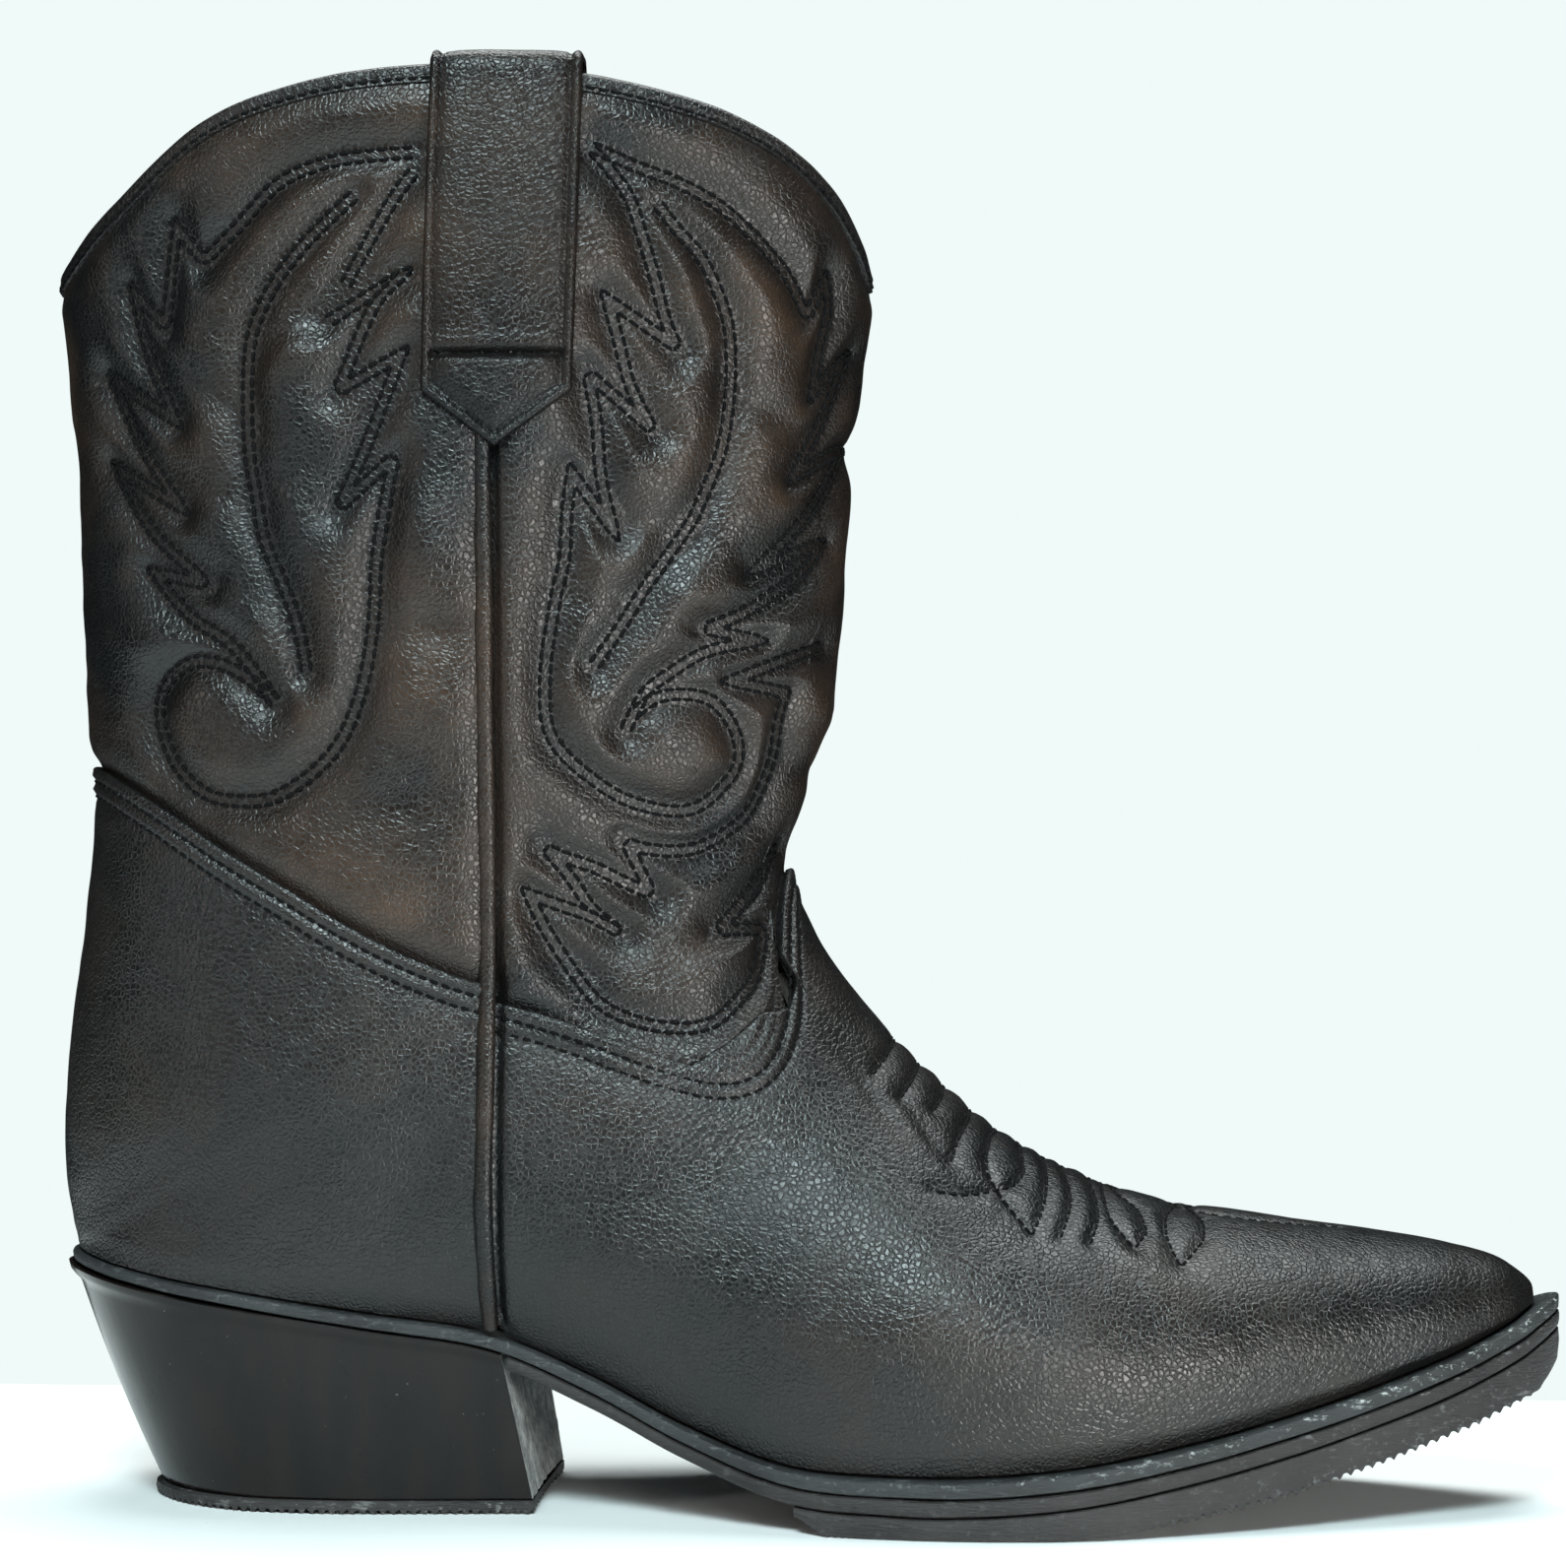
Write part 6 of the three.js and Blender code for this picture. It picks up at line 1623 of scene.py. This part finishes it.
def build_heel():
    half_count, across = 90, 44
    bottom = LIFT_THICKNESS + 0.15

    def height_at(share):
        return lambda top_x: lerp(outsole_top(top_x), bottom, share)

    # share of the way down and growth; the top edge rolls out under the sole layers
    shares = [(0.03, 0.45), (0.05, 0.3), (0.075, 0.03), (0.1, 0.0)]
    shares += [(k, 0.0) for k in np.linspace(0.14, 0.97, 42)]
    shares += [(0.985, 0.0), (1.0, -0.25)]
    levels = [(0.0, 0.2, lambda x: outsole_top(x) - 0.05), (0.0, 0.4, lambda x: outsole_top(x) - 0.25)]
    levels += [(share, grow, height_at(share)) for share, grow in shares]
    rings = heel_rings(levels, half_count, across)
    outline = 2 * half_count - 1
    rough = rings[:, outline:]
    rough[..., 0] += 0.28 * cloud(rough, 1.6) + 0.22 * cloud(rough, 4.5, 2.0) + 0.1 * cloud(rough, 0.8, 5.0)
    wall = rings[:, :outline]
    wall[..., 1] += 0.10 * cloud(wall, 16.0, 4.0) * np.sign(wall[..., 1])
    points, faces = capped(rings, half_count)
    mark_breast(add_mesh("heel_body", points, faces, [HEEL_WALL, BREAST], ["heel_block"],
                         HARD_ANGLE))


def build_top_lift():
    half_count, across = 220, 60

    def level(z):
        return lambda x: np.full(len(x), z)

    grow_and_z = [(0.0, LIFT_THICKNESS), (0.5, LIFT_THICKNESS - 0.3), (0.6, 1.2), (0.45, 0.0)]
    rings = heel_rings([(1.0, grow, level(z)) for grow, z in grow_and_z], half_count, across)
    along = np.r_[0, np.cumsum(np.linalg.norm(np.diff(rings[-1], axis=0), axis=1))]
    rings[-1, :, 2] += LIFT_TOOTH * np.abs((along / LIFT_TOOTH_PITCH) % 1 - 0.5) * 2
    ragged = bump_at(rings[..., 0], HEEL_BREAST_LOW_X, 3.0) * bump_at(rings[..., 1], -HEEL_LOW_HALF, 6.0)
    rings[..., 0] += 0.8 * ragged * cloud(rings, 1.4)
    inner = rings[-1].copy()
    centre = inner.mean(0)
    inner[:, :2] = centre[:2] + (inner[:, :2] - centre[:2]) * 0.965
    floor_ring = inner.copy()
    floor_ring[:, :2] = centre[:2] + (inner[:, :2] - centre[:2]) * 0.97
    floor_ring[:, 2] = 0.35
    rings = np.concatenate([rings, inner[None], floor_ring[None]])
    points, faces = capped(rings, half_count)
    worn = np.full(len(points), 0.35)
    add_mesh("top_lift", points, faces, LIFT, ["heel_top_lift"], HARD_ANGLE, {"worn": worn})


SOCK_MARGIN, SOCK_THICKNESS = -6.7, 1.2
SOCK_LIFT_FOREFOOT, SOCK_LIFT_HEEL = 2.6, 6.8  # over the feather line, on the boards and the cushion


def build_sock():
    """The sock liner inside, soft at the edge and dented by the heel and ball."""
    t = np.linspace(2.0, HEEL_SEAT - 1.5, 161)
    k = np.linspace(-1, 1, 57)
    margin = np.full(len(t), SOCK_MARGIN)
    outer = sole_outline(t, np.full(len(t), OUTER), margin)
    inner = sole_outline(t, np.full(len(t), INNER), margin)
    plan = lerp(outer[:, None, :], inner[:, None, :], (k[None, :, None] + 1) / 2)
    x, y = plan[..., 0], plan[..., 1]
    lift = lerp(SOCK_LIFT_FOREFOOT, SOCK_LIFT_HEEL, smoothstep(-x, 40, 66))
    dent = 0.5 * bump_at(np.hypot((x + 100) / 24, y / 15), 0, 1)
    dent += 0.4 * bump_at(np.hypot((x - 38) / 30, y / 22), 0, 1)
    flat = np.stack([x, y, feather_z(x) + lift], -1)
    soft = 0.12 * cloud(flat, 9.0) - dent - 0.5 * bump_at(1 - np.abs(k), 0, 0.05)[None, :]
    top = flat.copy()
    top[..., 2] += SOCK_THICKNESS + soft
    points = np.concatenate([top.reshape(-1, 3), flat[THINNED, THINNED].reshape(-1, 3)])
    faces = facing_out(points, sheet_faces(len(t), len(k), 0))
    add_mesh("sock_liner_leather", points, faces, SOCK, ["sock_liner"], SOFT_ANGLE)


build_welt()
build_outsole()
build_tread()
build_heel()
build_top_lift()
build_sock()

# ------------------------------------------------------------------ finishes of the CAD pieces inside

INSIDE_FINISH = {
    "foam_padding": (FOAM, ["shaft_padding_front", "shaft_padding_back", "heel_cushion", "bottom_filler"]),
    "fibre_board": (BOARD, ["insole_board", "heel_seat_board"]),
    "stiffener_board": (STIFFENER, ["toe_puff", "heel_stiffener"]),
    "fastener_steel": (STEEL, ["shank_steel", "heel_screw", *[f"heel_nail_{k}" for k in range(1, 6)],
                               "shank_rivet_1", "shank_rivet_2", "top_lift_pin_1", "top_lift_pin_2"]),
}
for slot_name, (finish, node_names) in INSIDE_FINISH.items():
    for node_name in node_names:
        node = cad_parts[node_name]
        node.data.materials.clear()
        node.data.materials.append(finish)

# ------------------------------------------------------------------ table, light and background

TABLE_LOW, TABLE_HIGH = (-620.0, -460.0, -24.0), (620.0, 126.0, 0.0)
AMBIENT = 0.02  # the world's strength as a light; to the camera it is 1
PALE = colour(0.872, 0.955, 0.947)


def floor_material():
    """Pale matt table top with a little dust."""
    s = Shader("table_top")
    haze = s.noise(9.0, 3.0)
    dust = s.ramp(s.noise(420.0, 3.0, 0.8), 0.67, 0.69)
    near = s.ramp(s.noise(22.0, 2.0), 0.45, 0.65)
    tone = s.mix(s.ramp(haze, 0.3, 0.7), colour(0.88, 0.93, 0.93), colour(0.93, 0.96, 0.96))
    tone = s.mix(s.maths("MULTIPLY", s.maths("MULTIPLY", dust, near), 0.45), tone, colour(0.30, 0.31, 0.31))
    return s.finish(Base_Color=tone, Roughness=0.55, Normal=s.raised(s.noise(300.0, 4.0), 0.05))


def build_table():
    spans = list(zip(TABLE_LOW, TABLE_HIGH, strict=True))
    corners = [(x, y, z) for x in spans[0] for y in spans[1] for z in spans[2]]
    faces = [(0, 1, 3, 2), (4, 6, 7, 5), (0, 4, 5, 1), (2, 3, 7, 6), (0, 2, 6, 4), (1, 5, 7, 3)]
    mesh = bpy.data.meshes.new("table_top")
    mesh.from_pydata([tuple(place(c)) for c in corners], [], faces)
    mesh.materials.append(floor_material())
    made = bpy.data.objects.new("table_top", mesh)
    bpy.context.scene.collection.objects.link(made)


def build_world():
    """Pale studio white to the eye, and dimmer as a light on the boot."""
    world = bpy.data.worlds.new("studio")
    bpy.context.scene.world = world
    world.use_nodes = True
    tree = world.node_tree
    background = tree.nodes["Background"]
    background.inputs["Color"].default_value = PALE
    path = tree.nodes.new("ShaderNodeLightPath")
    strength = tree.nodes.new("ShaderNodeMapRange")
    strength.inputs["To Min"].default_value = AMBIENT
    strength.inputs["To Max"].default_value = 1.0
    tree.links.new(path.outputs["Is Camera Ray"], strength.inputs["Value"])
    tree.links.new(strength.outputs[0], background.inputs["Strength"])


def add_light(name, where, look_at, size, power, tint):
    data = bpy.data.lights.new(name, "AREA")
    data.shape = "RECTANGLE"
    data.size, data.size_y = size[0] * MM, size[1] * MM
    data.energy = power
    data.color = tint
    made = bpy.data.objects.new(name, data)
    made.location = Vector(place(where))
    made.rotation_mode = "QUATERNION"
    made.rotation_quaternion = Vector(np.subtract(look_at, where)).to_track_quat("-Z", "Y")
    bpy.context.scene.collection.objects.link(made)


# Name, place, what it looks at, size, watts and tint.
LIGHTS = [
    ("key", (-70, -620, 640), (0, 0, 115), (300, 190), 8.5, (0.80, 0.97, 1.0)),
    ("overhead", (40, 160, 900), (0, 0, 40), (900, 420), 11.5, (0.94, 1.0, 0.99)),
    ("right", (340, -520, 80), (-50, 0, 20), (160, 160), 2.6, (1.0, 0.98, 0.95)),
    ("left", (-660, -420, 330), (-60, 0, 130), (120, 420), 0.8, (1.0, 0.93, 0.87)),
]
build_table()
build_world()
for light in LIGHTS:
    add_light(*light)

bpy.context.scene.view_settings.view_transform = "Standard"
